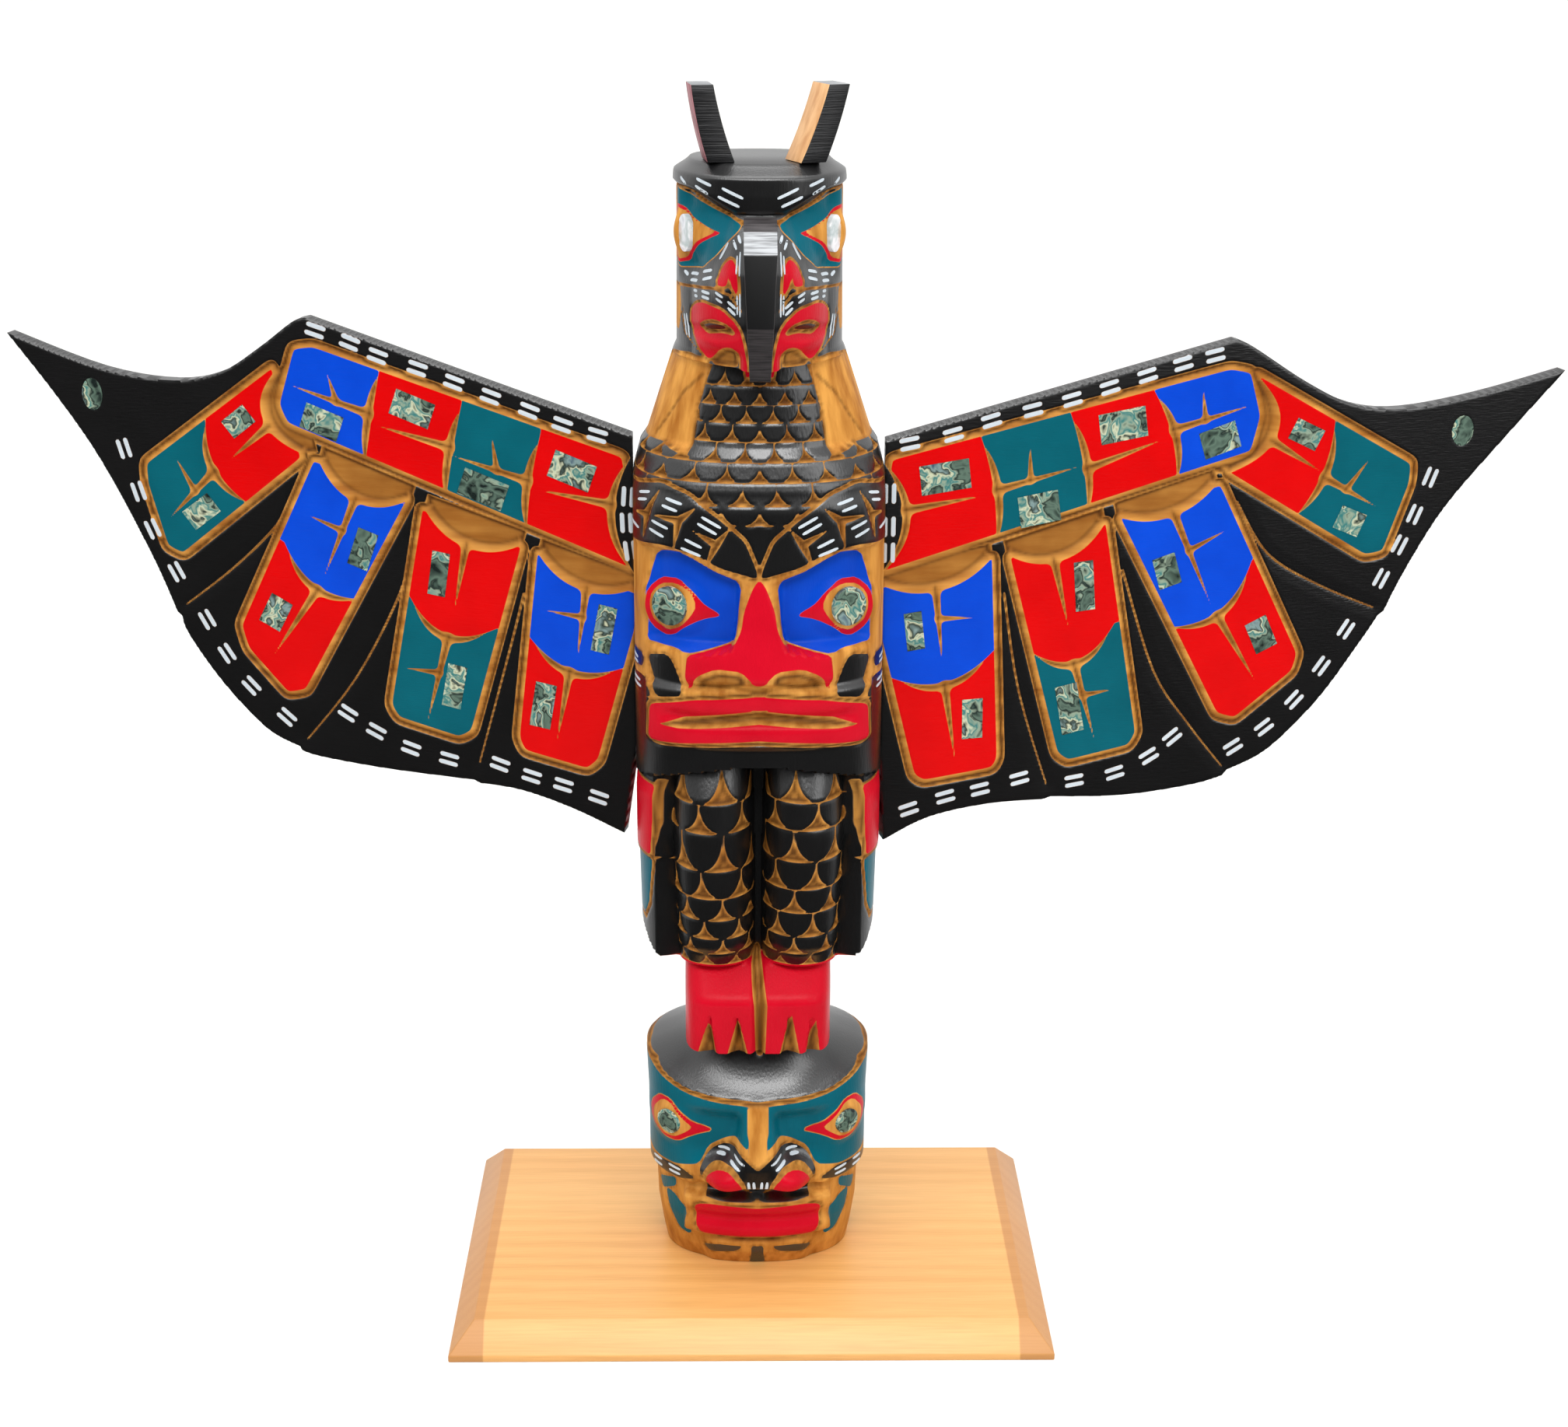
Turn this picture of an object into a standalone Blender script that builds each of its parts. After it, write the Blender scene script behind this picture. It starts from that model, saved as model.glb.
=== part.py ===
"""Carved totem pole with spread wings on a chamfered board. Metres, +Z up, front towards -Y.

The origin is on the underside of the base board, straight below the pole's axis.
The figures keep their proportions as shares of the pole's height and width: they are drawn
in millimetres on a pole of the drawn height and width, and scaled to the real ones.
"""
import math
import bmesh
import bpy
import numpy as np
from mathutils import Matrix, Vector


# Driving sizes
BASE_LENGTH = 0.350
BASE_DEPTH = 0.235
BASE_THICKNESS = 0.020
BASE_EDGE = 0.004            # upright edge left below the chamfer
BASE_CHAMFER = 0.020         # width of the chamfer seen from above
BASE_SHIFT = -0.0035         # the board's centre is a little to the left of the pole
POLE_HEIGHT = 0.651
POLE_WIDTH = 0.142
PLANK = 0.010                # thickness of the wing boards
WING_SWEEP = math.radians(12)
WING_REACH = {"left": 0.3688, "right": 0.4115}
BEAK_WIDTH = 0.0175
BEAK_TIP_WIDTH = 0.0108
HORN_WIDTH = 0.0145
HORN_DEPTH = 0.022
HORN_HEIGHT = 0.040
SHELL_THICKNESS = 0.0016
SHELL_PROUD = 0.0002         # how far the plates stand above the boards
EYE_THICKNESS = 0.003
EYE_POCKET = 0.020           # length of the cutter that makes an eye's pocket
FRAME_CORNER = 0.005         # how much of each side a frame's cut corner takes
GAP = 0.0003                 # clearance between touching pieces
FRAME_GROOVE = 0.0027        # depths of the V grooves on the wings
LINE_GROOVE = 0.0021
CRESCENT_GROOVE = 0.0024
SPLIT_GROOVE = 0.0019

# The size that the figures are drawn at, in millimetres
DRAWN_HEIGHT = 651.0
DRAWN_WIDTH = 142.0
DRAWN_FOOT = 20.0            # height at which the drawn pole stands

for old in list(bpy.data.objects):
    bpy.data.objects.remove(old, do_unlink=True)


def collection(name):
    made = bpy.data.collections.new(name)
    bpy.context.scene.collection.children.link(made)
    return made


PARTS = collection("totem_pole")
CUTTERS = collection("cutters")


def material(name, colour, roughness=0.45, metallic=0.0):
    made = bpy.data.materials.new(name)
    made.use_nodes = True
    shader = made.node_tree.nodes["Principled BSDF"]
    shader.inputs["Base Color"].default_value = (*colour, 1)
    shader.inputs["Roughness"].default_value = roughness
    shader.inputs["Metallic"].default_value = metallic
    made.diffuse_color = (*colour, 1)
    return made


CEDAR = material("stained_cedar", (0.50, 0.24, 0.06), 0.5)
BOARD = material("varnished_board", (0.72, 0.40, 0.15), 0.4)
BLACK = material("black_paint", (0.008, 0.008, 0.009), 0.35)
ABALONE = material("abalone_shell", (0.10, 0.20, 0.19), 0.2)
PALE_SHELL = material("pale_shell", (0.55, 0.58, 0.62), 0.2)


def across(x):
    """A drawn width or depth, in millimetres, as a real one in metres."""
    return x * POLE_WIDTH / DRAWN_WIDTH


def height(z):
    """A drawn height as a real one above the floor."""
    return BASE_THICKNESS + GAP + (z - DRAWN_FOOT) * POLE_HEIGHT / DRAWN_HEIGHT


def ramp(low, high, x):
    """0 below low, 1 above high, and a smooth step between."""
    t = np.clip((x - low) / (high - low), 0, 1)
    return t * t * (3 - 2 * t)


def bump(dx, dz, rx, rz):
    """A round hill, 1 high, that ends at an ellipse of half widths rx and rz."""
    d = (dx / rx) ** 2 + (dz / rz) ** 2
    return np.clip(1 - d, 0, 1) ** 1.5


# The log: at each height its half width, its depth in front and behind, and how square it is
LOG = np.array([
    (20, 55, 38, 46, 2.3), (30, 57, 44, 48, 2.3), (50, 60, 50, 50, 2.3), (76, 61, 55, 51, 2.3),
    (79, 65, 58, 53, 2.4), (116, 65, 62, 54, 2.4), (150, 66.5, 62, 55, 2.4), (172, 67, 61, 56, 2.5),
    (218, 69, 60, 55, 2.6), (300, 71, 60, 54, 2.7), (340, 71, 62, 54, 2.7), (450, 71, 63, 54, 2.7),
    (500, 70.5, 62, 53, 2.5), (517, 66, 57, 51, 2.3), (523, 62, 54, 49, 2.2), (569, 47, 47, 45, 2.2),
    (572, 45.5, 46, 45, 2.3), (640, 45, 47, 45, 2.3), (655, 45, 49, 45, 2.3), (665, 44, 49, 44, 2.3),
    (671, 38, 39, 38, 2.3)])


def section(angle, half, front, back, power):
    """Radius of a rounded section at an angle from the front, + towards +X."""
    depth = np.where(np.cos(angle) > 0, front, back)
    s = np.abs(np.sin(angle)) / half
    c = np.abs(np.cos(angle)) / depth
    return (s ** power + c ** power) ** (-1 / power)


def column(angle, cx, cy, rx, ry):
    """Radius at which a line from the axis leaves an upright oval column, 0 where it misses."""
    s, c = np.sin(angle), -np.cos(angle)
    a = (s / rx) ** 2 + (c / ry) ** 2
    b = s * cx / rx ** 2 + c * cy / ry ** 2
    k = (cx / rx) ** 2 + (cy / ry) ** 2 - 1
    root = b * b - a * k
    return np.where(root > 0, (b + np.sqrt(np.maximum(root, 0))) / a, 0)


def log_radius(angle, z):
    half, front, back, power = (np.interp(z, LOG[:, 0], LOG[:, i]) for i in range(1, 5))
    return section(angle, half, front, back, power)


RIM_FRONT = 136.0            # height of the lower head's brow rim, in front and at the sides
RIM_SIDE = 150.0
TOES = 164.0                 # underside of the toes
KNUCKLES = 198.0
ANKLES = 218.0
CHIN_SIDE = 327.0            # underside of the big face's chin
CHIN_FRONT = 343.0


def lower_head(angle, z, radius):
    """The face at the foot of the pole, under a rim with a hollow forehead behind it."""
    x = radius * np.sin(angle)
    side = np.abs(x)
    front = ramp(0.05, 0.35, np.cos(angle))
    rise = np.zeros_like(z)
    socket = ramp(6, 15, side) * (1 - ramp(30, 47, side)) * ramp(88, 104, z) * (1 - ramp(122, 133, z))
    rise -= 8 * socket
    ridge = (1 - ramp(4 + 0.16 * (132 - z), 12 + 0.42 * (132 - z), side)) * ramp(79, 84, z)
    rise += ridge * np.interp(z, (80, 97, 132, 136), (9, 11, 2, 0))
    rise += 7 * bump(side - 20, z - 89, 15, 13)
    rise += 3.5 * bump(side - 52, z - 116, 17, 15)
    mouth = (1 - ramp(38, 44, side)) * ramp(40, 46, z) * (1 - ramp(70, 73, z))
    rise += mouth * (7 - 3.5 * np.exp(-((z - 57) / 5) ** 2))
    gap = (1 - ramp(34, 40, side)) * ramp(72, 74, z) * (1 - ramp(79, 82, z))
    rise -= 3 * gap
    rise += 3 * (1 - ramp(24, 34, side)) * (1 - ramp(36, 42, z))
    return radius + rise * front


def hollow_top(angle, z, radius):
    """The forehead falls in from the rim to the feet in a hollow curve."""
    turned = np.where(np.cos(angle) > 0, np.sin(angle) ** 2, 1.0)
    rim = RIM_FRONT + (RIM_SIDE - RIM_FRONT) * turned
    inner = section(angle, 40, 46, 40, 2.6)
    t = np.clip((z - rim) / (170.0 - rim), 0, 1)
    return np.where(z < rim, radius, inner + (radius - inner) * (1 - t) ** 2.2)


def feet(angle, z):
    """Two square feet side by side, with sloping tops and a groove between them."""
    front = np.interp(z, (TOES, KNUCKLES, KNUCKLES + 4, ANKLES), (56, 60, 58, 42))
    block = section(angle, 42.5, front, 42, 6)
    x = block * np.sin(angle)
    groove = (1 - ramp(1.5, 4.2, np.abs(x))) * (np.cos(angle) > 0)
    toe = np.zeros_like(z)
    for centre in (-28.5, -12.2, 18.3, 31.5):
        spread = np.interp(z, (TOES, 190), (6.0, 0.3))
        toe = np.maximum(toe, (1 - np.clip(np.abs(x - centre) / spread, 0, 1)) * (z < 190))
    return block - (4 * groove + 4 * toe) * (np.cos(angle) > 0.2)


def legs(angle, z):
    """Two round legs in front of the folded tail, with a deep gap between them."""
    half = np.interp(z, (ANKLES, 240, 300, 342), (21.5, 22.5, 23.5, 22))
    centre = np.interp(z, (ANKLES, 300), (24, 26))
    front = np.interp(z, (ANKLES, 232, 300, 322, 345), (50, 57, 60, 58, 48))
    left = column(angle, -centre, -30, half, front - 30)
    right = column(angle, centre, -30, half, front - 30)
    return np.maximum(left, right)


def tail(angle, z, radius):
    """The log's sides left standing as tail feathers, cut back beside the legs."""
    x = np.abs(radius * np.sin(angle))
    beside = np.cos(angle) > 0
    channel = (1 - ramp(53, 60, x)) * beside
    back = section(angle, 62, 30, 50, 3)
    body = radius * (1 - channel) + np.minimum(back, radius) * channel
    bottom = 219 + 17 * ramp(55, 72, x) ** 2
    step = 1.5 * ramp(279, 281, z) * (1 - ramp(318, 326, z)) * ramp(56, 60, x)
    shaft = section(angle, 40, 38, 42, 3)
    return np.where(z < bottom, np.minimum(body, shaft), body - 1.5 + step)


def big_face(angle, z, radius):
    """The broad face on the body: lips, T-shaped nose, sunken sockets, round eyes, brows."""
    x = radius * np.sin(angle)
    side = np.abs(x)
    front = ramp(0.0, 0.2, np.cos(angle))
    rise = np.zeros_like(z)
    lips = (1 - ramp(60, 64, side)) * ramp(353, 357, z) * (1 - ramp(387, 391, z))
    slot = (1 - ramp(46, 55, side)) * np.exp(-((z - 372) / 4.0) ** 2)
    rise += 3.0 * lips - 4.0 * slot
    brow_line = np.interp(side, (8, 24, 37, 46, 62), (450, 456, 463, 466.5, 465.5))
    under_brow = 1 - ramp(-3, 1, z - brow_line)
    socket = ramp(9, 15, side) * (1 - ramp(58, 66, side)) * ramp(408, 416, z) * under_brow
    rise -= 7.0 * socket
    rise += 6.5 * bump(side - 49, z - 433, 21, 18)
    rise += 2.0 * ramp(-2, 3, z - brow_line) * (1 - ramp(488, 500, z))
    wing = np.interp(z, (392, 408, 413, 434, 453), (41, 38, 15, 9, 3))
    nose = (1 - ramp(wing - 2, wing + 3, side)) * ramp(389, 396, z) * (1 - ramp(448, 456, z))
    tall = np.interp(z, (389, 398, 434, 453), (9, 11, 5, 2)) * (1 - 0.65 * np.clip(side / 40, 0, 1))
    rise = rise * (1 - nose) + tall * nose
    return radius + rise * front


def breast(angle, z, radius):
    """A collar of two flat facets, one each side of the breast."""
    x = np.abs(radius * np.sin(angle))
    inner = np.interp(z, (517, 569), (36, 26))
    outer = np.interp(z, (517, 569), (58, 46))
    facet = ramp(0, 3, x - inner) * (1 - ramp(-4, 6, x - outer)) * ramp(519, 523, z) * (1 - ramp(564, 569, z))
    return radius - 2.2 * facet * (np.cos(angle) > 0)


def bird_head(angle, z, radius):
    """The bird's head: cap, sunken sockets, and a muzzle that carries the beak."""
    turned = np.abs(angle)
    muzzle = np.interp(z, (566, 571, 592, 618, 634, 646), (26, 28, 31, 29, 20, 0))
    wedge = np.clip(1 - turned / math.radians(50), 0, 1) ** 1.3
    out = radius + muzzle * wedge
    x = out * np.sin(angle)
    side = np.abs(x)
    cap = 646 + 13 * ramp(5, 40, side)
    out = out + 2.5 * ramp(-1.5, 1.5, z - cap) * (1 - ramp(664, 670, z)) * (np.cos(angle) > -0.2)
    socket = ramp(0.20, 0.38, turned) * (1 - ramp(0.95, 1.25, turned)) * ramp(606, 618, z)
    out = out - 5.0 * socket * (1 - ramp(-4, 0, z - cap))
    out = out + 5.5 * bump((turned - 1.0) * 45, z - 633, 18, 16)
    out = out + 2.5 * bump(side - 19, z - 613, 9, 14)
    mouth = bump(side - 23, z - 588 + 0.1 * side, 17, 5)
    out = out - 4.0 * mouth * (turned < 1.0)
    under = ramp(0.12, 0.2, turned) * (1 - ramp(0.6, 0.8, turned)) * (1 - ramp(572, 579, z))
    return out - 0.35 * muzzle * wedge * under


def pole_radius(angle, z):
    """The carved pole's radius, in drawn millimetres, at each angle and height."""
    radius = log_radius(angle, z)
    low = hollow_top(angle, z, lower_head(angle, z, radius))
    chin = CHIN_SIDE + (CHIN_FRONT - CHIN_SIDE) * np.clip(np.cos(angle), 0, 1) ** 2
    body = tail(angle, z, radius)
    body = np.where(z > 216, np.maximum(body, legs(angle, z)), body)
    body = np.where((z > TOES) & (z < ANKLES), np.maximum(feet(angle, z), np.minimum(body, 44)), body)
    shape = np.where(z < TOES, low, np.maximum(body, np.where(z < 172, low, 0)))
    upper = np.where(z < 505, big_face(angle, z, radius), breast(angle, z, radius))
    upper = np.where(z > 566, bird_head(angle, z, radius), upper)
    return np.where(z > chin, upper, shape)


def angles(count_front, count_back):
    """Column angles all round, finer in front."""
    front = np.linspace(-0.62, 0.62, count_front) * math.pi
    back = np.linspace(0.62, 1.38, count_back + 2)[1:-1] * math.pi
    return np.concatenate((front, back))


def pole_mesh(columns_front=150, columns_back=36, rows=400):
    """A closed grid wrapped round the axis and drawn out to the carved radius."""
    around = angles(columns_front, columns_back)
    count = len(around)
    bm = bmesh.new()
    bmesh.ops.create_grid(bm, x_segments=count, y_segments=rows, size=1)
    mesh = bpy.data.meshes.new("pole")
    bm.to_mesh(mesh)
    bm.free()
    co = np.empty(len(mesh.vertices) * 3)
    mesh.vertices.foreach_get("co", co)
    co = co.reshape(-1, 3)
    col = np.rint((co[:, 0] + 1) / 2 * count).astype(int)
    z = DRAWN_FOOT + (co[:, 1] + 1) / 2 * DRAWN_HEIGHT
    angle = around[col % count]
    radius = pole_radius(angle, z)
    co[:, 0] = radius * np.sin(angle) * POLE_WIDTH / DRAWN_WIDTH
    co[:, 1] = -radius * np.cos(angle) * POLE_WIDTH / DRAWN_WIDTH
    co[:, 2] = height(z)
    mesh.vertices.foreach_set("co", co.ravel())
    bm = bmesh.new()
    bm.from_mesh(mesh)
    bmesh.ops.remove_doubles(bm, verts=bm.verts[:], dist=1e-6)
    rims = [e for e in bm.edges if e.is_boundary]
    bmesh.ops.holes_fill(bm, edges=rims, sides=0)
    bmesh.ops.recalc_face_normals(bm, faces=bm.faces[:])
    bm.to_mesh(mesh)
    bm.free()
    return mesh


def add(name, mesh, look, place=PARTS):
    made = bpy.data.objects.new(name, mesh)
    made.data.materials.clear()
    made.data.materials.append(look)
    place.objects.link(made)
    return made


def cut(target, cutter, solver="EXACT"):
    """Take the cutter's shape out of the target."""
    for owner in list(cutter.users_collection):
        owner.objects.unlink(cutter)
    CUTTERS.objects.link(cutter)
    cutter.hide_render = True
    cutter.display_type = "WIRE"
    modifier = target.modifiers.new("cut " + cutter.name, "BOOLEAN")
    modifier.operation = "DIFFERENCE"
    modifier.solver = solver
    modifier.object = cutter


def plate(name, points, thickness, look, place=PARTS):
    """A flat outline in the XY plane as a solid mesh, centred on the plane."""
    curve = bpy.data.curves.new(name, "CURVE")
    curve.dimensions = "2D"
    curve.fill_mode = "BOTH"
    curve.extrude = thickness / 2
    line = curve.splines.new("POLY")
    line.points.add(len(points) - 1)
    for point, (x, y) in zip(line.points, points):
        point.co = (x, y, 0, 1)
    line.use_cyclic_u = True
    return to_mesh(name, curve, look, place)


def to_mesh(name, curve, look, place):
    guide = bpy.data.objects.new(name + " curve", curve)
    place.objects.link(guide)
    bpy.context.view_layer.update()
    evaluated = guide.evaluated_get(bpy.context.evaluated_depsgraph_get())
    mesh = bpy.data.meshes.new_from_object(evaluated)
    bpy.data.objects.remove(guide, do_unlink=True)
    bm = bmesh.new()
    bm.from_mesh(mesh)
    bmesh.ops.remove_doubles(bm, verts=bm.verts[:], dist=1e-6)
    bmesh.ops.recalc_face_normals(bm, faces=bm.faces[:])
    bm.to_mesh(mesh)
    bm.free()
    return add(name, mesh, look, place)


def smooth(points, steps):
    """A closed or open curve through the points, as a finer list of points."""
    out = []
    for i in range(1, len(points) - 2):
        a, b, c, d = (Vector(points[i + k]) for k in (-1, 0, 1, 2))
        for s in range(steps):
            t = s / steps
            out.append(0.5 * (2 * b + (c - a) * t + (2 * a - 5 * b + 4 * c - d) * t * t
                              + (3 * b - a - 3 * c + d) * t ** 3))
    out.append(Vector(points[-2]))
    return [tuple(p) for p in out]


def turned_disc(name, radius_x, radius_y, depth, look, place, sides=16):
    """A flat oval disc along local Z, from -depth to 0."""
    bm = bmesh.new()
    bmesh.ops.create_cone(bm, cap_ends=True, segments=sides, radius1=radius_x, radius2=radius_x, depth=depth)
    bmesh.ops.scale(bm, vec=(1, radius_y / radius_x, 1), verts=bm.verts[:])
    bmesh.ops.translate(bm, vec=(0, 0, -depth / 2), verts=bm.verts[:])
    mesh = bpy.data.meshes.new(name)
    bm.to_mesh(mesh)
    bm.free()
    return add(name, mesh, look, place)


# Base board
def base_board():
    bm = bmesh.new()
    bmesh.ops.create_cube(bm, size=1)
    bmesh.ops.scale(bm, vec=(BASE_LENGTH, BASE_DEPTH, BASE_EDGE), verts=bm.verts[:])
    bmesh.ops.translate(bm, vec=(BASE_SHIFT, 0, BASE_EDGE / 2), verts=bm.verts[:])
    top = max(bm.faces, key=lambda f: f.calc_center_median().z)
    raised = bmesh.ops.extrude_face_region(bm, geom=[top])["geom"]
    corners = [v for v in raised if isinstance(v, bmesh.types.BMVert)]
    bm.faces.remove(top)
    for corner in corners:
        corner.co.x -= math.copysign(BASE_CHAMFER, corner.co.x - BASE_SHIFT)
        corner.co.y -= math.copysign(BASE_CHAMFER, corner.co.y)
        corner.co.z = BASE_THICKNESS
    mesh = bpy.data.meshes.new("base")
    bm.to_mesh(mesh)
    bm.free()
    return add("base", mesh, BOARD)


base_board()

# Pole
pole = add("pole", pole_mesh(), CEDAR)
thin = pole.modifiers.new("facets", "DECIMATE")
thin.ratio = 0.029


def facing(place, direction, upward=(0, 0, 1)):
    """A matrix whose Z axis points along direction, with Y as near to upward as it can be."""
    z = Vector(direction).normalized()
    x = Vector(upward).cross(z).normalized()
    y = z.cross(x)
    made = Matrix((x, y, z)).transposed().to_4x4()
    made.translation = Vector(place)
    return made


# Shell eyes: degrees round from the front, height, half width, half height, and the way they look
EYES = {
    "lower_eye": (48.5, 117.5, 8.6, 7.2, 44, ABALONE),
    "face_eye": (44.0, 434.0, 10.9, 10.9, 33, ABALONE),
    "bird_eye": (57.5, 633.5, 7.2, 10.0, 62, PALE_SHELL),
}


def eye_frame(side, degrees_out, z, looks):
    """Where the middle of an eye lies on the carved surface, and the level way it looks."""
    angle, turned = side * math.radians(degrees_out), side * math.radians(looks)
    r = pole_radius(np.array([angle]), np.array([z]))[0]
    place = (across(r * math.sin(angle)), across(-r * math.cos(angle)), height(z))
    return place, (math.sin(turned), -math.cos(turned), 0)


for name, (degrees_out, z, rx, rz, looks, look) in EYES.items():
    for side, word in ((-1, "left"), (1, "right")):
        flush = facing(*eye_frame(side, degrees_out, z, looks))
        rx_real, rz_real = across(rx), across(rz)
        pocket = turned_disc(f"{name}_{word} pocket", rx_real + GAP, rz_real + GAP, EYE_POCKET, CEDAR,
                             CUTTERS)
        pocket.matrix_world = flush @ Matrix.Translation((0, 0, EYE_POCKET - EYE_THICKNESS))
        cut(pole, pocket)
        eye = turned_disc(f"{name}_{word}", rx_real, rz_real, EYE_THICKNESS - GAP, look, PARTS)
        eye.matrix_world = flush

# Beak: a ridge of its own, let into a slot in the muzzle
BEAK_ROOT = 50.0             # how far in front of the axis the slot ends
BEAK_TOP = 645.0
BEAK_PROFILE = [(-BEAK_ROOT, BEAK_TOP), (-66, 639.2), (-80, 629.5), (-84, 592), (-80, 564), (-72, 562),
                (-BEAK_ROOT, 572)]


def beak_piece(name, grow, look, place):
    """The beak's side profile as a plate across X, narrowed towards its tip."""
    points = [(across(y), height(z)) for y, z in BEAK_PROFILE]
    body = plate(name, points, BEAK_WIDTH + 2 * grow, look, place)
    for v in body.data.vertices:
        narrow = np.interp(v.co.y, (height(562), height(625)), (BEAK_TIP_WIDTH / BEAK_WIDTH, 1.0))
        v.co = (v.co.z * narrow, v.co.x, v.co.y)
    flip_if_inside_out(body.data)
    return body


def flip_if_inside_out(mesh):
    bm = bmesh.new()
    bm.from_mesh(mesh)
    bmesh.ops.recalc_face_normals(bm, faces=bm.faces[:])
    bm.to_mesh(mesh)
    bm.free()


def box(name, low, high, place):
    bm = bmesh.new()
    bmesh.ops.create_cube(bm, size=1)
    size = [b - a for a, b in zip(low, high)]
    middle = [(b + a) / 2 for a, b in zip(low, high)]
    bmesh.ops.scale(bm, vec=size, verts=bm.verts[:])
    bmesh.ops.translate(bm, vec=middle, verts=bm.verts[:])
    mesh = bpy.data.meshes.new(name)
    bm.to_mesh(mesh)
    bm.free()
    return add(name, mesh, CEDAR, place)


beak_piece("beak", 0.0, BLACK, PARTS)
slot_half = BEAK_WIDTH / 2 + GAP
slot_low = (-slot_half, across(-2 * BEAK_ROOT), height(558))
slot_high = (slot_half, across(-BEAK_ROOT) + GAP, height(BEAK_TOP) + GAP)
slot = box("beak slot", slot_low, slot_high, CUTTERS)
cut(pole, slot)

# Horns: two small curved blades on the flat top of the head
HORNS = {"left": (-22.0, -1, 8.0, 14.0), "right": (24.0, 1, 22.0, 20.0)}
HEAD_TOP = 671.0


def horn(word):
    """A blade cut to a slightly curved outline, leaning out, with a level foot and top."""
    x, side, turn, lean = HORNS[word]
    rows = 5
    right, left = [], []
    for i in range(rows):
        t = i / (rows - 1)
        drift = side * (math.tan(math.radians(lean)) * t + 0.10 * t * (1 - t)) * HORN_HEIGHT
        half = HORN_WIDTH / 2 * (1 - 0.18 * t)
        right.append((drift + half, t * HORN_HEIGHT))
        left.append((drift - half, t * HORN_HEIGHT))
    blade = plate(f"horn_{word}", right + left[::-1], HORN_DEPTH, BLACK)
    for v in blade.data.vertices:
        v.co = (v.co.x, -v.co.z, v.co.y)
    flip_if_inside_out(blade.data)
    blade.rotation_euler = (0, 0, math.radians(turn))
    blade.location = (across(x), across(-24), height(HEAD_TOP) + GAP)
    return blade


for word in HORNS:
    horn(word)

# Wings. Points are (reach along the board, height) in drawn millimetres.
SEAT = 69.8                  # half width between the flats that the wings butt against
SEAT_LOW = 278.0
SEAT_HIGH = 523.0
FRONT = -9.3                 # depth of the wing's front face where it meets the log
SEAT_REACH = 30.0            # how far the cutters for the flats run outwards, and to front and back
SEAT_DEPTH = 40.0
DRAWN_REACH = {"left": 368.8, "right": 411.5}
OUTLINE = {
    "left": [[(368.8, 562.3), (313, 544), (269, 539), (240, 545), (216, 560), (196, 575), (188, 578)],
             [(188, 578), (0, 519.5)], [(0, 519.5), (0, 340), (8, 284)],
             [(8, 284), (39, 297), (70, 306), (98, 308.5)],
             [(98, 310), (150, 313), (191, 317.5), (205, 321)],
             [(205, 323), (225, 333), (250, 359), (270, 388), (274, 401)],
             [(276.5, 402), (290, 436), (316, 488.5), (340, 525), (368.8, 562.3)]],
    "right": [[(411.5, 541.2), (359, 529), (312, 522.5), (280, 526), (250, 540), (215, 562), (205, 566.5)],
              [(205, 566.5), (0, 517)], [(0, 517), (0, 340), (3, 280)],
              [(3, 280), (30, 292), (66, 297.5), (105, 297.5)],
              [(105, 299), (150, 296.5), (194, 300), (215, 305)],
              [(215, 307.5), (240, 319), (270, 348), (295, 383), (306, 400)],
              [(308.5, 401), (320, 425.5), (342, 462.5), (375, 501), (411.5, 541.2)]],
}
# Frames round the painted panels: corner points of the V groove's middle line
FRAMES = {
    "left": {
        "band": [(0, 441), (203, 516), (208, 528), (197, 562), (184, 564), (4, 509)],
        "feather_1": [(192, 497), (208, 552), (291, 491), (291, 478), (281, 440), (270, 435)],
        "feather_2": [(129, 478), (188, 499), (239, 396), (235, 381), (211, 354), (198, 357)],
        "feather_3": [(63, 454), (125, 474), (149, 353), (144, 344), (106, 334), (97, 339)],
        "feather_4": [(0, 432), (58, 452), (72, 338), (68, 329), (29, 320), (21, 327)]},
    "right": {
        "band": [(-2, 440), (219, 500), (224, 522), (216, 549), (202, 552), (2, 508)],
        "feather_1": [(202, 489), (217, 549), (320, 491), (320, 478), (306, 436), (293, 434)],
        "feather_2": [(137, 467), (201, 485), (257, 378), (254, 366), (218, 338), (205, 342)],
        "feather_3": [(72, 448), (133, 466), (158, 335), (153, 326), (114, 319), (106, 325)],
        "feather_4": [(-2, 435), (66, 449), (73, 325), (69, 318), (26, 313), (19, 318)]},
}
# Lines between the feathers, from the band down to the notch in the lower edge
LINES = {
    "left": [[(200.5, 478), (212, 457), (240, 430), (274, 404)],
             [(131, 452), (139, 421), (168, 368), (205, 322)],
             [(65, 425), (74, 392), (98, 309.5)]],
    "right": [[(211, 472), (232, 440), (266, 419), (307, 401)],
              [(143, 435), (165, 373), (189, 338), (216, 306)],
              [(72, 425), (83, 365), (106, 298.5)]],
}
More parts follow.
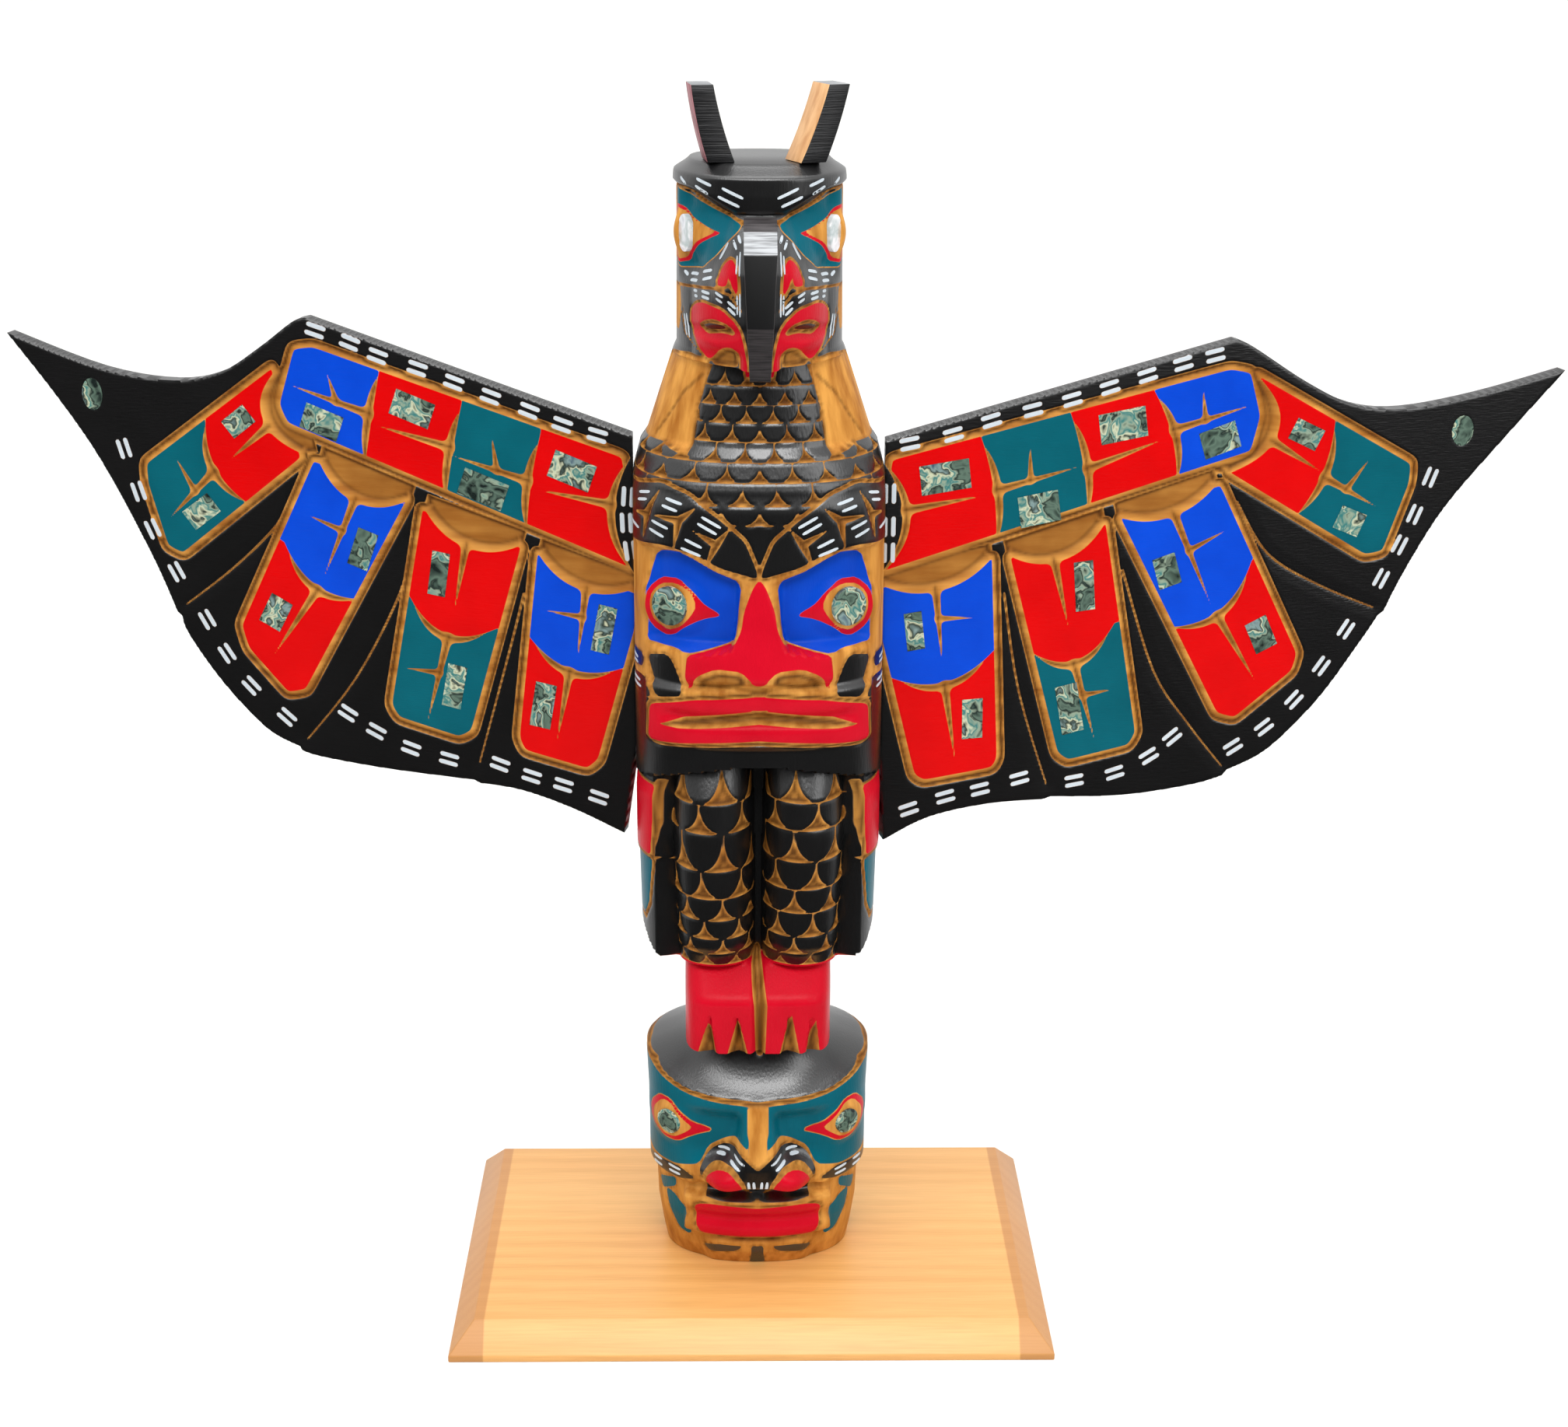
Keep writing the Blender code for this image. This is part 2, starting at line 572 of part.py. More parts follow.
# Crescent cuts across each panel where one colour ends, and the tapered cut that splits it:
# (one end, middle, other end, tip of the split)
SPLITS = {
    "left": [((156, 497), (153, 525), (146, 547), (197, 539)),
             ((109, 478), (106, 508), (99, 529), (146, 518)),
             ((62, 463), (61, 491), (54, 513), (103, 503)), ((5, 446), (13, 480), (7, 503), (53, 486)),
             ((193, 500), (213, 515), (203, 551), (237, 495)),
             ((229, 470), (248, 487), (251, 514), (277, 458)),
             ((184, 497), (163, 476), (130, 477), (184, 429)),
             ((205, 442), (189, 420), (164, 416), (217, 380)),
             ((122, 472), (98, 453), (65, 454), (106, 415)), ((131, 416), (111, 396), (87, 401), (125, 345)),
             ((56, 450), (28, 431), (6, 430), (34, 389)), ((59, 396), (39, 380), (12, 383), (47, 339))],
    "right": [((173, 487), (170, 516), (159, 535), (214, 528)),
              ((120, 470), (119, 496), (109, 524), (161, 510)),
              ((66, 455), (66, 486), (57, 512), (112, 497)), ((4, 446), (13, 477), (6, 502), (56, 483)),
              ((204, 489), (230, 507), (215, 548), (261, 488)),
              ((249, 463), (264, 484), (268, 512), (298, 465)),
              ((198, 484), (172, 468), (138, 467), (198, 412)),
              ((220, 430), (203, 404), (174, 399), (229, 363)),
              ((131, 464), (101, 444), (73, 448), (111, 404)),
              ((136, 398), (116, 380), (91, 388), (130, 334)),
              ((64, 447), (31, 431), (5, 432), (36, 387)), ((62, 387), (38, 372), (11, 377), (45, 328))],
}
# Shell plates let into the boards: middle, width, length, and turn in degrees from the upright
SHELLS = {
    "left": {"band_1": (35, 498, 16, 25, -70), "band_2": (87, 485, 16, 27, -70),
             "band_3": (127, 529, 15, 24, -70),
             "band_4": (181, 519, 15, 23, -70), "feather_1a": (231, 517, 12, 17, 52),
             "feather_1b": (257, 463, 13, 20, 53), "feather_2a": (160, 446, 12.5, 23, 20),
             "feather_2b": (215, 405, 14, 19, 28), "feather_3a": (115, 434, 10.5, 26, 9),
             "feather_3b": (108, 367, 11.5, 26, 11), "feather_4a": (18, 407, 11, 28, 11),
             "feather_4b": (55, 359, 12.5, 27, 10)},
    "right": {"band_1": (35, 495, 17, 29, -83), "band_2": (91, 474, 18, 24, -81),
              "band_3": (139, 520, 17.5, 28, -81),
              "band_4": (198, 509, 16, 22.5, -72), "feather_1a": (251, 510, 13, 19, 64),
              "feather_1b": (282, 457, 14, 17, 67), "feather_2a": (170, 433, 14, 19, 17),
              "feather_2b": (231, 391, 14, 20, 25), "feather_3a": (120, 427, 11.6, 29.5, 5),
              "feather_3b": (114, 353, 13.4, 30, 11), "feather_4a": (19, 406, 10.5, 22.5, 7),
              "feather_4b": (55, 351, 12.3, 24, 1)},
}
TIP_OVALS = {"left": (319, 529, 6.2, 9.4), "right": (349, 508, 6.8, 9.1)}


def along(word, u):
    return u * WING_REACH[word] / DRAWN_REACH[word]


def on_board(word, points):
    """Drawn points as points on the board's face: reach, then height above the floor."""
    return [(along(word, u), height(z)) for u, z in points]


def board_matrix(word):
    """Turns a board drawn in XY to stand in the swept-back wing plane."""
    side = -1 if word == "left" else 1
    out = Vector((side * math.cos(WING_SWEEP), math.sin(WING_SWEEP), 0))
    up = Vector((0, 0, 1))
    ahead = out.cross(up) * side
    made = Matrix((out, up, ahead)).transposed().to_4x4()
    made.translation = (side * (across(SEAT) + GAP), across(FRONT), 0)
    return made


def groove(name, points, depth, closed=False, taper=False):
    """A V-shaped cutter along a line on the face: a four-sided bevel stood on its edge."""
    curve = bpy.data.curves.new(name, "CURVE")
    curve.dimensions = "3D"
    curve.twist_mode = "Z_UP"
    curve.bevel_depth = depth
    curve.bevel_resolution = 0
    curve.use_fill_caps = True
    line = curve.splines.new("POLY")
    line.points.add(len(points) - 1)
    for i, (point, (x, y)) in enumerate(zip(line.points, points)):
        point.co = (x, y, 0, 1)
        if taper:
            point.radius = 1 - 0.9 * i / (len(points) - 1)
    line.use_cyclic_u = closed
    return to_mesh(name, curve, CEDAR, CUTTERS)


def rounded(points):
    """Cuts each corner of a closed outline into two points."""
    out = []
    for i, point in enumerate(points):
        here = Vector(point)
        for neighbour in (points[i - 1], points[(i + 1) % len(points)]):
            side = Vector(neighbour) - here
            out.append(tuple(here + side * min(FRAME_CORNER / side.length, 0.4)))
    return out


def settle(piece):
    """Move an object's placement into its mesh, with its faces turned outwards."""
    piece.data.transform(piece.matrix_world)
    piece.matrix_world = Matrix.Identity(4)
    flip_if_inside_out(piece.data)


def shell_plate(name, word, values, grow, look, place):
    """A shell plate, or with grow and a greater depth the cutter for its pocket."""
    u, z, width, length, turn = values
    depth = SHELL_THICKNESS + 2 * grow
    bm = bmesh.new()
    bmesh.ops.create_cube(bm, size=1)
    size = (across(width) + 2 * grow, across(length) + 2 * grow, depth)
    bmesh.ops.scale(bm, vec=size, verts=bm.verts[:])
    bmesh.ops.rotate(bm, matrix=Matrix.Rotation(math.radians(turn), 3, "Z"), verts=bm.verts[:])
    shift = (along(word, u), height(z), SHELL_PROUD - SHELL_THICKNESS / 2)
    bmesh.ops.translate(bm, vec=shift, verts=bm.verts[:])
    mesh = bpy.data.meshes.new(name)
    bm.to_mesh(mesh)
    bm.free()
    made = add(name, mesh, look, place)
    made.matrix_world = board_matrix(word)
    return made


def tip_oval(name, word, grow, look, place):
    u, z, rx, rz = TIP_OVALS[word]
    depth = SHELL_THICKNESS + 2 * grow
    made = turned_disc(name, across(rx) + grow, across(rz) + grow, depth, look, place, 16)
    shift = (along(word, u), height(z), SHELL_PROUD + grow)
    made.matrix_world = board_matrix(word) @ Matrix.Translation(shift)
    return made


def wing(word):
    """One carved board with its grooves, and pockets for the shell plates."""
    outline = []
    for run in OUTLINE[word]:
        ends = [run[0]] + run + [run[-1]]
        outline += smooth(ends, 2)[:-1] if len(run) > 3 else run[:-1]
    board = plate(f"wing_{word}", on_board(word, outline), PLANK, CEDAR)
    slide = math.tan(WING_SWEEP)
    for v in board.data.vertices:
        v.co.z -= PLANK / 2
        v.co.x = max(v.co.x, -v.co.z * slide)
    pockets, shells = [], []
    for name, values in SHELLS[word].items():
        pockets.append(shell_plate(f"pocket {name} {word}", word, values, GAP, CEDAR, CUTTERS))
        shells.append(shell_plate(f"shell_{word}_{name}", word, values, 0.0, ABALONE, PARTS))
    pockets.append(tip_oval(f"pocket tip {word}", word, GAP, CEDAR, CUTTERS))
    shells.append(tip_oval(f"shell_{word}_tip", word, 0.0, ABALONE, PARTS))
    grooves = []
    for name, frame in FRAMES[word].items():
        grooves.append(groove(f"{name} frame {word}", rounded(on_board(word, frame)), FRAME_GROOVE, True))
    for i, line in enumerate(LINES[word]):
        grooves.append(groove(f"line {i} {word}", on_board(word, line), LINE_GROOVE))
    for i, (one, middle, other, tip) in enumerate(SPLITS[word]):
        ends = [tuple(Vector(end).lerp(Vector(middle), 0.07)) for end in (one, other)]
        crescent = on_board(word, (ends[0], middle, ends[1]))
        grooves.append(groove(f"crescent {i} {word}", crescent, CRESCENT_GROOVE))
        grooves.append(groove(f"split {i} {word}", on_board(word, (middle, tip)), SPLIT_GROOVE, taper=True))
    for piece in [board] + grooves:
        piece.matrix_world = board_matrix(word)
    for piece in [board] + pockets + grooves + shells:
        settle(piece)
    for cutter in pockets + grooves:
        cut(board, cutter, "MANIFOLD")
    flat = board.modifiers.new("merge flat faces", "DECIMATE")
    flat.decimate_type = "DISSOLVE"
    flat.angle_limit = math.radians(0.3)


for word, side in (("left", -1), ("right", 1)):
    wing(word)
    near, far = side * across(SEAT), side * across(SEAT + SEAT_REACH)
    low = (min(near, far), across(-SEAT_DEPTH), height(SEAT_LOW))
    high = (max(near, far), across(SEAT_DEPTH), height(SEAT_HIGH))
    cut(pole, box(f"seat {word}", low, high, CUTTERS))
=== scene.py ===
import math

import bmesh
import bpy
import numpy as np
from mathutils import Matrix, Vector


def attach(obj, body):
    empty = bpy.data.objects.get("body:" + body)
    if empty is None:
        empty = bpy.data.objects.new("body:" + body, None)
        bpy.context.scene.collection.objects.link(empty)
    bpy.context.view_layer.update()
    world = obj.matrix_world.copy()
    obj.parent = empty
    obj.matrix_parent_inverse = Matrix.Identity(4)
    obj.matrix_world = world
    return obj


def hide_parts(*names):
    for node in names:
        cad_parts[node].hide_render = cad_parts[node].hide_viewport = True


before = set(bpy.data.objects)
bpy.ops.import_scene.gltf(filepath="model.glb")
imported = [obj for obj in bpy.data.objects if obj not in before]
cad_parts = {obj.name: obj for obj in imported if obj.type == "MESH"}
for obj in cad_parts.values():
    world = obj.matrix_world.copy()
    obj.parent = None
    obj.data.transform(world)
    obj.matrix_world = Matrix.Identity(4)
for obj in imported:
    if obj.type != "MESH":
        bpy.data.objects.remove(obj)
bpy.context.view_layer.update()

MM = 0.001


# Camera: a standard lens a little above the pole's middle, looking down on the board.
# It repeats the photograph's viewpoint, which was fitted to the base board and the pole.
CAMERA_PLACE = (-0.0111, -1.404, 0.825)
CAMERA_YAW = math.radians(-1.06)
CAMERA_PITCH = math.radians(18.5)
CAMERA_ROLL = math.radians(0.35)
LENS = 58.93

camera_data = bpy.data.cameras.new("camera")
camera_data.lens = LENS
camera_data.sensor_width = 36.0
camera_data.sensor_fit = "HORIZONTAL"
camera = bpy.data.objects.new("camera", camera_data)
bpy.context.scene.collection.objects.link(camera)
ahead = Vector((-math.sin(CAMERA_YAW) * math.cos(CAMERA_PITCH),
                math.cos(CAMERA_YAW) * math.cos(CAMERA_PITCH), -math.sin(CAMERA_PITCH)))
level = Vector((math.cos(CAMERA_YAW), math.sin(CAMERA_YAW), 0.0))
above = level.cross(ahead)
right = level * math.cos(CAMERA_ROLL) + above * math.sin(CAMERA_ROLL)
top = above * math.cos(CAMERA_ROLL) - level * math.sin(CAMERA_ROLL)
camera.matrix_world = Matrix.Translation(CAMERA_PLACE) @ Matrix((right, top, -ahead)).transposed().to_4x4()
bpy.context.scene.camera = camera
bpy.context.scene.view_settings.view_transform = "Standard"


# Studio: a seamless white floor that curves up behind, and large soft boxes above and beside.
# The boxes give the broad grey sheen on the satin black and keep the shadows short and faint.
def linear(code):
    """An sRGB hex colour as linear red, green, blue and alpha."""
    parts = [int(code[i:i + 2], 16) / 255 for i in (1, 3, 5)]
    return tuple(c / 12.92 if c <= 0.04045 else ((c + 0.055) / 1.055) ** 2.4 for c in parts) + (1.0,)


def add_node(tree, kind, inputs=None, **settings):
    """Adds a node, sets its properties, and sets or links its inputs."""
    made = tree.nodes.new(kind)
    for key, value in settings.items():
        setattr(made, key, value)
    for key, value in (inputs or {}).items():
        socket = made.inputs[key]
        if isinstance(value, bpy.types.NodeSocket):
            tree.links.new(value, socket)
        else:
            socket.default_value = value
    return made


def new_material(name):
    """An empty node material, its Principled shader and its tree."""
    made = bpy.data.materials.new(name)
    made.use_nodes = True
    tree = made.node_tree
    return made, tree, tree.nodes["Principled BSDF"]


def remapped(tree, value, low, high, to_low=0.0, to_high=1.0):
    """A number taken from one range to another, and held within it."""
    ends = {"From Min": low, "From Max": high, "To Min": to_low, "To Max": to_high}
    return add_node(tree, "ShaderNodeMapRange", {"Value": value, **ends}).outputs[0]


def verts_of(geom):
    """The vertices in what a bmesh operator returns."""
    return [v for v in geom if isinstance(v, bmesh.types.BMVert)]


FLOOR_SIZE = 3.4
FLOOR_BACK = 1.3
FLOOR_RISE = 2.2
FLOOR_CURVE = 0.5

floor_mesh = bmesh.new()
profile = [(-FLOOR_SIZE / 2, 0.0), (FLOOR_BACK - FLOOR_CURVE, 0.0)]
for step in range(1, 13):
    turn = step / 12 * math.pi / 2
    profile.append((FLOOR_BACK - FLOOR_CURVE + FLOOR_CURVE * math.sin(turn),
                    FLOOR_CURVE * (1 - math.cos(turn))))
profile.append((FLOOR_BACK, FLOOR_RISE))
line = [floor_mesh.verts.new((-FLOOR_SIZE, y, z)) for y, z in profile]
edges = [floor_mesh.edges.new(pair) for pair in zip(line, line[1:])]
swept = bmesh.ops.extrude_edge_only(floor_mesh, edges=edges)["geom"]
bmesh.ops.translate(floor_mesh, vec=(2 * FLOOR_SIZE, 0, 0), verts=verts_of(swept))
bmesh.ops.recalc_face_normals(floor_mesh, faces=floor_mesh.faces[:])
floor_data = bpy.data.meshes.new("floor")
floor_mesh.to_mesh(floor_data)
floor_mesh.free()
floor_data.shade_smooth()
floor = bpy.data.objects.new("floor", floor_data)
bpy.context.scene.collection.objects.link(floor)
paper, _, paper_shader = new_material("white_paper_sweep")
paper_shader.inputs["Base Color"].default_value = linear("#f4f4f2")
paper_shader.inputs["Roughness"].default_value = 0.9
floor.data.materials.append(paper)

# the room is bright above and behind the object and dark in front of it, and the floor isn't mirrored
floor.visible_glossy = False
world = bpy.data.worlds.new("studio")
world.use_nodes = True
room = world.node_tree
look_to = add_node(room, "ShaderNodeTexCoord").outputs["Generated"]
upward = add_node(room, "ShaderNodeVectorMath", {0: look_to, 1: (0.0, 0.55, 0.83)}, operation="DOT_PRODUCT")
glow = remapped(room, upward.outputs["Value"], -0.30, 0.15, 0.03, 1.0)
room.links.new(glow, room.nodes["Background"].inputs["Strength"])
room.nodes["Background"].inputs["Color"].default_value = linear("#ffffff")
bpy.context.scene.world = world


def soft_box(name, place, aim, width, height, power):
    """A rectangular area light at a place, aimed at a point."""
    data = bpy.data.lights.new(name, "AREA")
    data.shape = "RECTANGLE"
    data.size = width
    data.size_y = height
    data.energy = power
    made = bpy.data.objects.new(name, data)
    bpy.context.scene.collection.objects.link(made)
    made.location = place
    made.rotation_euler = (Vector(aim) - Vector(place)).to_track_quat("-Z", "Y").to_euler()


soft_box("key", (-0.9, -1.3, 1.9), (0, 0, 0.35), 0.9, 0.9, 10)
soft_box("fill", (1.4, -1.3, 1.2), (0, 0, 0.35), 1.0, 1.2, 9)
soft_box("front", (0.15, -1.5, 1.75), (0, 0, 0.45), 1.2, 0.5, 20)
soft_box("overhead", (0.0, 0.15, 2.1), (0, 0, 0.3), 1.6, 1.2, 15)


# Base board: one piece of clear finished softwood, with a wide chamfer planed on all four sides.
# The grain runs along the board, and the end grain of the short chamfers took more stain.
BASE_LENGTH, BASE_DEPTH, BASE_THICKNESS = 350.0, 235.0, 20.0
BASE_EDGE = 4.0
BASE_CHAMFER = 20.0
BASE_SHIFT = -3.5
WORN_EDGE = 0.7


def finish_mesh(bm, name, smooth_below=0.6):
    """Turns a bmesh drawn in millimetres into an object in metres, smooth but for its sharp edges."""
    bmesh.ops.recalc_face_normals(bm, faces=bm.faces[:])
    bmesh.ops.scale(bm, vec=(MM, MM, MM), verts=bm.verts[:])
    for edge in bm.edges:
        edge.smooth = edge.calc_face_angle(0.0) < smooth_below
    mesh = bpy.data.meshes.new(name)
    bm.to_mesh(mesh)
    bm.free()
    mesh.shade_smooth()
    made = bpy.data.objects.new(name, mesh)
    bpy.context.scene.collection.objects.link(made)
    return made


def round_off(bm, edges, by):
    """Rounds edges by a small amount."""
    bmesh.ops.bevel(bm, geom=edges, offset=by, segments=2, profile=0.5, affect="EDGES", material=-1)


def object_place(tree):
    """A point's place on the object, in metres."""
    return add_node(tree, "ShaderNodeTexCoord").outputs["Object"]


def noise(tree, place, scale, detail, stretch=None):
    """Noise from 0 to 1, stretched along the three axes if asked."""
    if stretch:
        place = add_node(tree, "ShaderNodeMapping", {"Vector": place, "Scale": stretch}).outputs[0]
    return add_node(tree, "ShaderNodeTexNoise",
                    {"Vector": place, "Scale": scale, "Detail": detail}).outputs["Fac"]


def mixed(tree, share, one, other):
    """A colour between two, at a share of the way from one to the other."""
    return add_node(tree, "ShaderNodeMix", {0: share, 6: one, 7: other}, data_type="RGBA").outputs[2]


def bumped(tree, shader, height, strength, distance):
    """Fine relief on a shader, from a number between 0 and 1."""
    relief = add_node(tree, "ShaderNodeBump", {"Height": height, "Strength": strength, "Distance": distance})
    tree.links.new(relief.outputs[0], shader.inputs["Normal"])


bm = bmesh.new()
bmesh.ops.create_cube(bm, size=1.0)
bmesh.ops.scale(bm, vec=(BASE_LENGTH, BASE_DEPTH, BASE_EDGE), verts=bm.verts[:])
bmesh.ops.translate(bm, vec=(BASE_SHIFT, 0, BASE_EDGE / 2), verts=bm.verts[:])
board_top = max(bm.faces, key=lambda f: f.calc_center_median().z)
bmesh.ops.inset_region(bm, faces=[board_top], thickness=BASE_CHAMFER)
bmesh.ops.translate(bm, vec=(0, 0, BASE_THICKNESS - BASE_EDGE), verts=board_top.verts[:])
round_off(bm, bm.edges[:], WORN_EDGE)
base_board = finish_mesh(bm, "base_board")

pine, tree, shader = new_material("varnished_pine")
place = object_place(tree)
along_grain = add_node(tree, "ShaderNodeMapping", {"Vector": place, "Scale": (1.6, 26.0, 26.0)}).outputs[0]
rings = add_node(tree, "ShaderNodeTexWave", {"Vector": along_grain, "Scale": 0.9, "Distortion": 5.5,
                                             "Detail": 2.0, "Detail Scale": 0.8},
                 wave_type="BANDS", bands_direction="Y")
tone = add_node(tree, "ShaderNodeValToRGB", {"Fac": rings.outputs["Fac"]})
tone.color_ramp.elements[0].color = linear("#dfa25a")
tone.color_ramp.elements[1].color = linear("#cf9046")
colour = mixed(tree, noise(tree, along_grain, 1.3, 3.0), tone.outputs["Color"], linear("#e6b370"))
fibre = noise(tree, place, 1.0, 2.0, (30.0, 900.0, 900.0))
colour = mixed(tree, remapped(tree, fibre, 0.35, 0.75, 0.0, 0.22), colour, linear("#a8682a"))
along = add_node(tree, "ShaderNodeSeparateXYZ", {"Vector": place}).outputs["X"]
off_middle = add_node(tree, "ShaderNodeMath", {0: along, 1: BASE_SHIFT * MM}, operation="SUBTRACT").outputs[0]
off_middle = add_node(tree, "ShaderNodeMath", {0: off_middle}, operation="ABSOLUTE").outputs[0]
chamfer_at = BASE_LENGTH / 2 - BASE_CHAMFER
end_grain = remapped(tree, off_middle, (chamfer_at - 0.5) * MM, (chamfer_at + 0.5) * MM, 0.0, 0.6)
tree.links.new(mixed(tree, end_grain, colour, linear("#a86c38")), shader.inputs["Base Color"])
shader.inputs["Roughness"].default_value = 0.38
bumped(tree, shader, fibre, 0.12, 0.0004)
base_board.data.materials.append(pine)
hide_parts("base")
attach(base_board, "root")


# Pole: one log of cedar, carved all round the front and painted, with bare stained wood in the cuts.
# The back is a plain rounded log. It stands upright on the middle of the board.
# Shapes on it are drawn as (distance round the log in mm from the front, height in mm).
POLE_HIGH = 671.0            # the flat top of the head
ROUND = 65.0                 # mm of distance round the log for each radian
LIFT = 0.3                   # clearance between the board and the pole


def ramp(low, high, x):
    """0 below low, 1 above high, and a smooth step between."""
    t = np.clip((x - low) / (high - low), 0, 1)
    return t * t * (3 - 2 * t)


def bump(dx, dz, rx, rz):
    """A round hill, 1 high, that ends at an ellipse of half widths rx and rz."""
    d = (dx / rx) ** 2 + (dz / rz) ** 2
    return np.clip(1 - d, 0, 1) ** 1.5


# The log: at each height its half width, its depth in front and behind, and how square it is
LOG = np.array([
    (20, 55, 38, 46, 2.3), (30, 57, 44, 48, 2.3), (50, 60, 50, 50, 2.3), (76, 61, 55, 51, 2.3),
    (79, 65, 58, 53, 2.4), (116, 65, 62, 54, 2.4), (150, 66.5, 62, 55, 2.4), (172, 67, 61, 56, 2.5),
    (218, 69, 60, 55, 2.6), (300, 71, 60, 54, 2.7), (340, 71, 62, 54, 2.7), (450, 71, 63, 54, 2.7),
    (500, 70.5, 62, 53, 2.5), (517, 66, 57, 51, 2.3), (523, 62, 54, 49, 2.2), (569, 47, 47, 45, 2.2),
    (572, 45.5, 46, 45, 2.3), (640, 45, 47, 45, 2.3), (655, 45, 49, 45, 2.3), (665, 44, 49, 44, 2.3),
    (671, 38, 39, 38, 2.3)])


def section(angle, half, front, back, power):
    """Radius of a rounded section at an angle from the front, + towards +X."""
    depth = np.where(np.cos(angle) > 0, front, back)
    s = np.abs(np.sin(angle)) / half
    c = np.abs(np.cos(angle)) / depth
    return (s ** power + c ** power) ** (-1 / power)


def column(angle, cx, cy, rx, ry):
    """Radius at which a line from the axis leaves an upright oval column, 0 where it misses."""
    s, c = np.sin(angle), -np.cos(angle)
    a = (s / rx) ** 2 + (c / ry) ** 2
    b = s * cx / rx ** 2 + c * cy / ry ** 2
    k = (cx / rx) ** 2 + (cy / ry) ** 2 - 1
    root = b * b - a * k
    return np.where(root > 0, (b + np.sqrt(np.maximum(root, 0))) / a, 0)


def log_radius(angle, z):
    half, front, back, power = (np.interp(z, LOG[:, 0], LOG[:, i]) for i in range(1, 5))
    return section(angle, half, front, back, power)


RIM_FRONT = 136.0            # height of the lower head's brow rim, in front and at the sides
RIM_SIDE = 150.0
TOES = 164.0                 # underside of the toes
KNUCKLES = 198.0
ANKLES = 218.0
CHIN_SIDE = 327.0            # underside of the big face's chin
CHIN_FRONT = 343.0


def lower_head(angle, z, radius):
    """The face at the foot of the pole, under a rim with a hollow forehead behind it."""
    x = radius * np.sin(angle)
    side = np.abs(x)
    front = ramp(0.05, 0.35, np.cos(angle))
    rise = np.zeros_like(z)
    socket = ramp(6, 15, side) * (1 - ramp(30, 47, side)) * ramp(88, 104, z) * (1 - ramp(122, 133, z))
    rise -= 8 * socket
    ridge = (1 - ramp(4 + 0.16 * (132 - z), 12 + 0.42 * (132 - z), side)) * ramp(79, 84, z)
    rise += ridge * np.interp(z, (80, 97, 132, 136), (9, 11, 2, 0))
    rise += 7 * bump(side - 20, z - 89, 15, 13)
    rise += 3.5 * bump(side - 52, z - 116, 17, 15)
    mouth = (1 - ramp(38, 44, side)) * ramp(40, 46, z) * (1 - ramp(70, 73, z))
    rise += mouth * (7 - 3.5 * np.exp(-((z - 57) / 5) ** 2))
    gap = (1 - ramp(34, 40, side)) * ramp(72, 74, z) * (1 - ramp(79, 82, z))
    rise -= 3 * gap
    rise += 3 * (1 - ramp(24, 34, side)) * (1 - ramp(36, 42, z))
    return radius + rise * front


def hollow_top(angle, z, radius):
    """The forehead falls in from the rim to the feet in a hollow curve."""
    turned = np.where(np.cos(angle) > 0, np.sin(angle) ** 2, 1.0)
    rim = RIM_FRONT + (RIM_SIDE - RIM_FRONT) * turned
    inner = section(angle, 40, 46, 40, 2.6)
    t = np.clip((z - rim) / (170.0 - rim), 0, 1)
    return np.where(z < rim, radius, inner + (radius - inner) * (1 - t) ** 2.2)


def feet(angle, z):
    """Two square feet side by side, with sloping tops and a groove between them."""
    front = np.interp(z, (TOES, KNUCKLES, KNUCKLES + 4, ANKLES), (56, 60, 58, 42))
    block = section(angle, 42.5, front, 42, 6)
    x = block * np.sin(angle)
    groove = (1 - ramp(1.5, 4.2, np.abs(x))) * (np.cos(angle) > 0)
    toe = np.zeros_like(z)
    for centre in (-28.5, -12.2, 18.3, 31.5):
        spread = np.interp(z, (TOES, 190), (6.0, 0.3))
        toe = np.maximum(toe, (1 - np.clip(np.abs(x - centre) / spread, 0, 1)) * (z < 190))
    return block - (4 * groove + 4 * toe) * (np.cos(angle) > 0.2)


def legs(angle, z):
    """Two round legs in front of the folded tail, with a deep gap between them."""
    half = np.interp(z, (ANKLES, 240, 300, 342), (21.5, 22.5, 23.5, 22))
    centre = np.interp(z, (ANKLES, 300), (24, 26))
    front = np.interp(z, (ANKLES, 232, 300, 322, 345), (50, 57, 60, 58, 48))
    left = column(angle, -centre, -30, half, front - 30)
    right = column(angle, centre, -30, half, front - 30)
    return np.maximum(left, right)


def tail(angle, z, radius):
    """The log's sides left standing as tail feathers, cut back beside the legs."""
    x = np.abs(radius * np.sin(angle))
    beside = np.cos(angle) > 0
    channel = (1 - ramp(53, 60, x)) * beside
    back = section(angle, 62, 30, 50, 3)
    body = radius * (1 - channel) + np.minimum(back, radius) * channel
    bottom = 219 + 17 * ramp(55, 72, x) ** 2
    step = 1.5 * ramp(279, 281, z) * (1 - ramp(318, 326, z)) * ramp(56, 60, x)
    shaft = section(angle, 40, 38, 42, 3)
    return np.where(z < bottom, np.minimum(body, shaft), body - 1.5 + step)


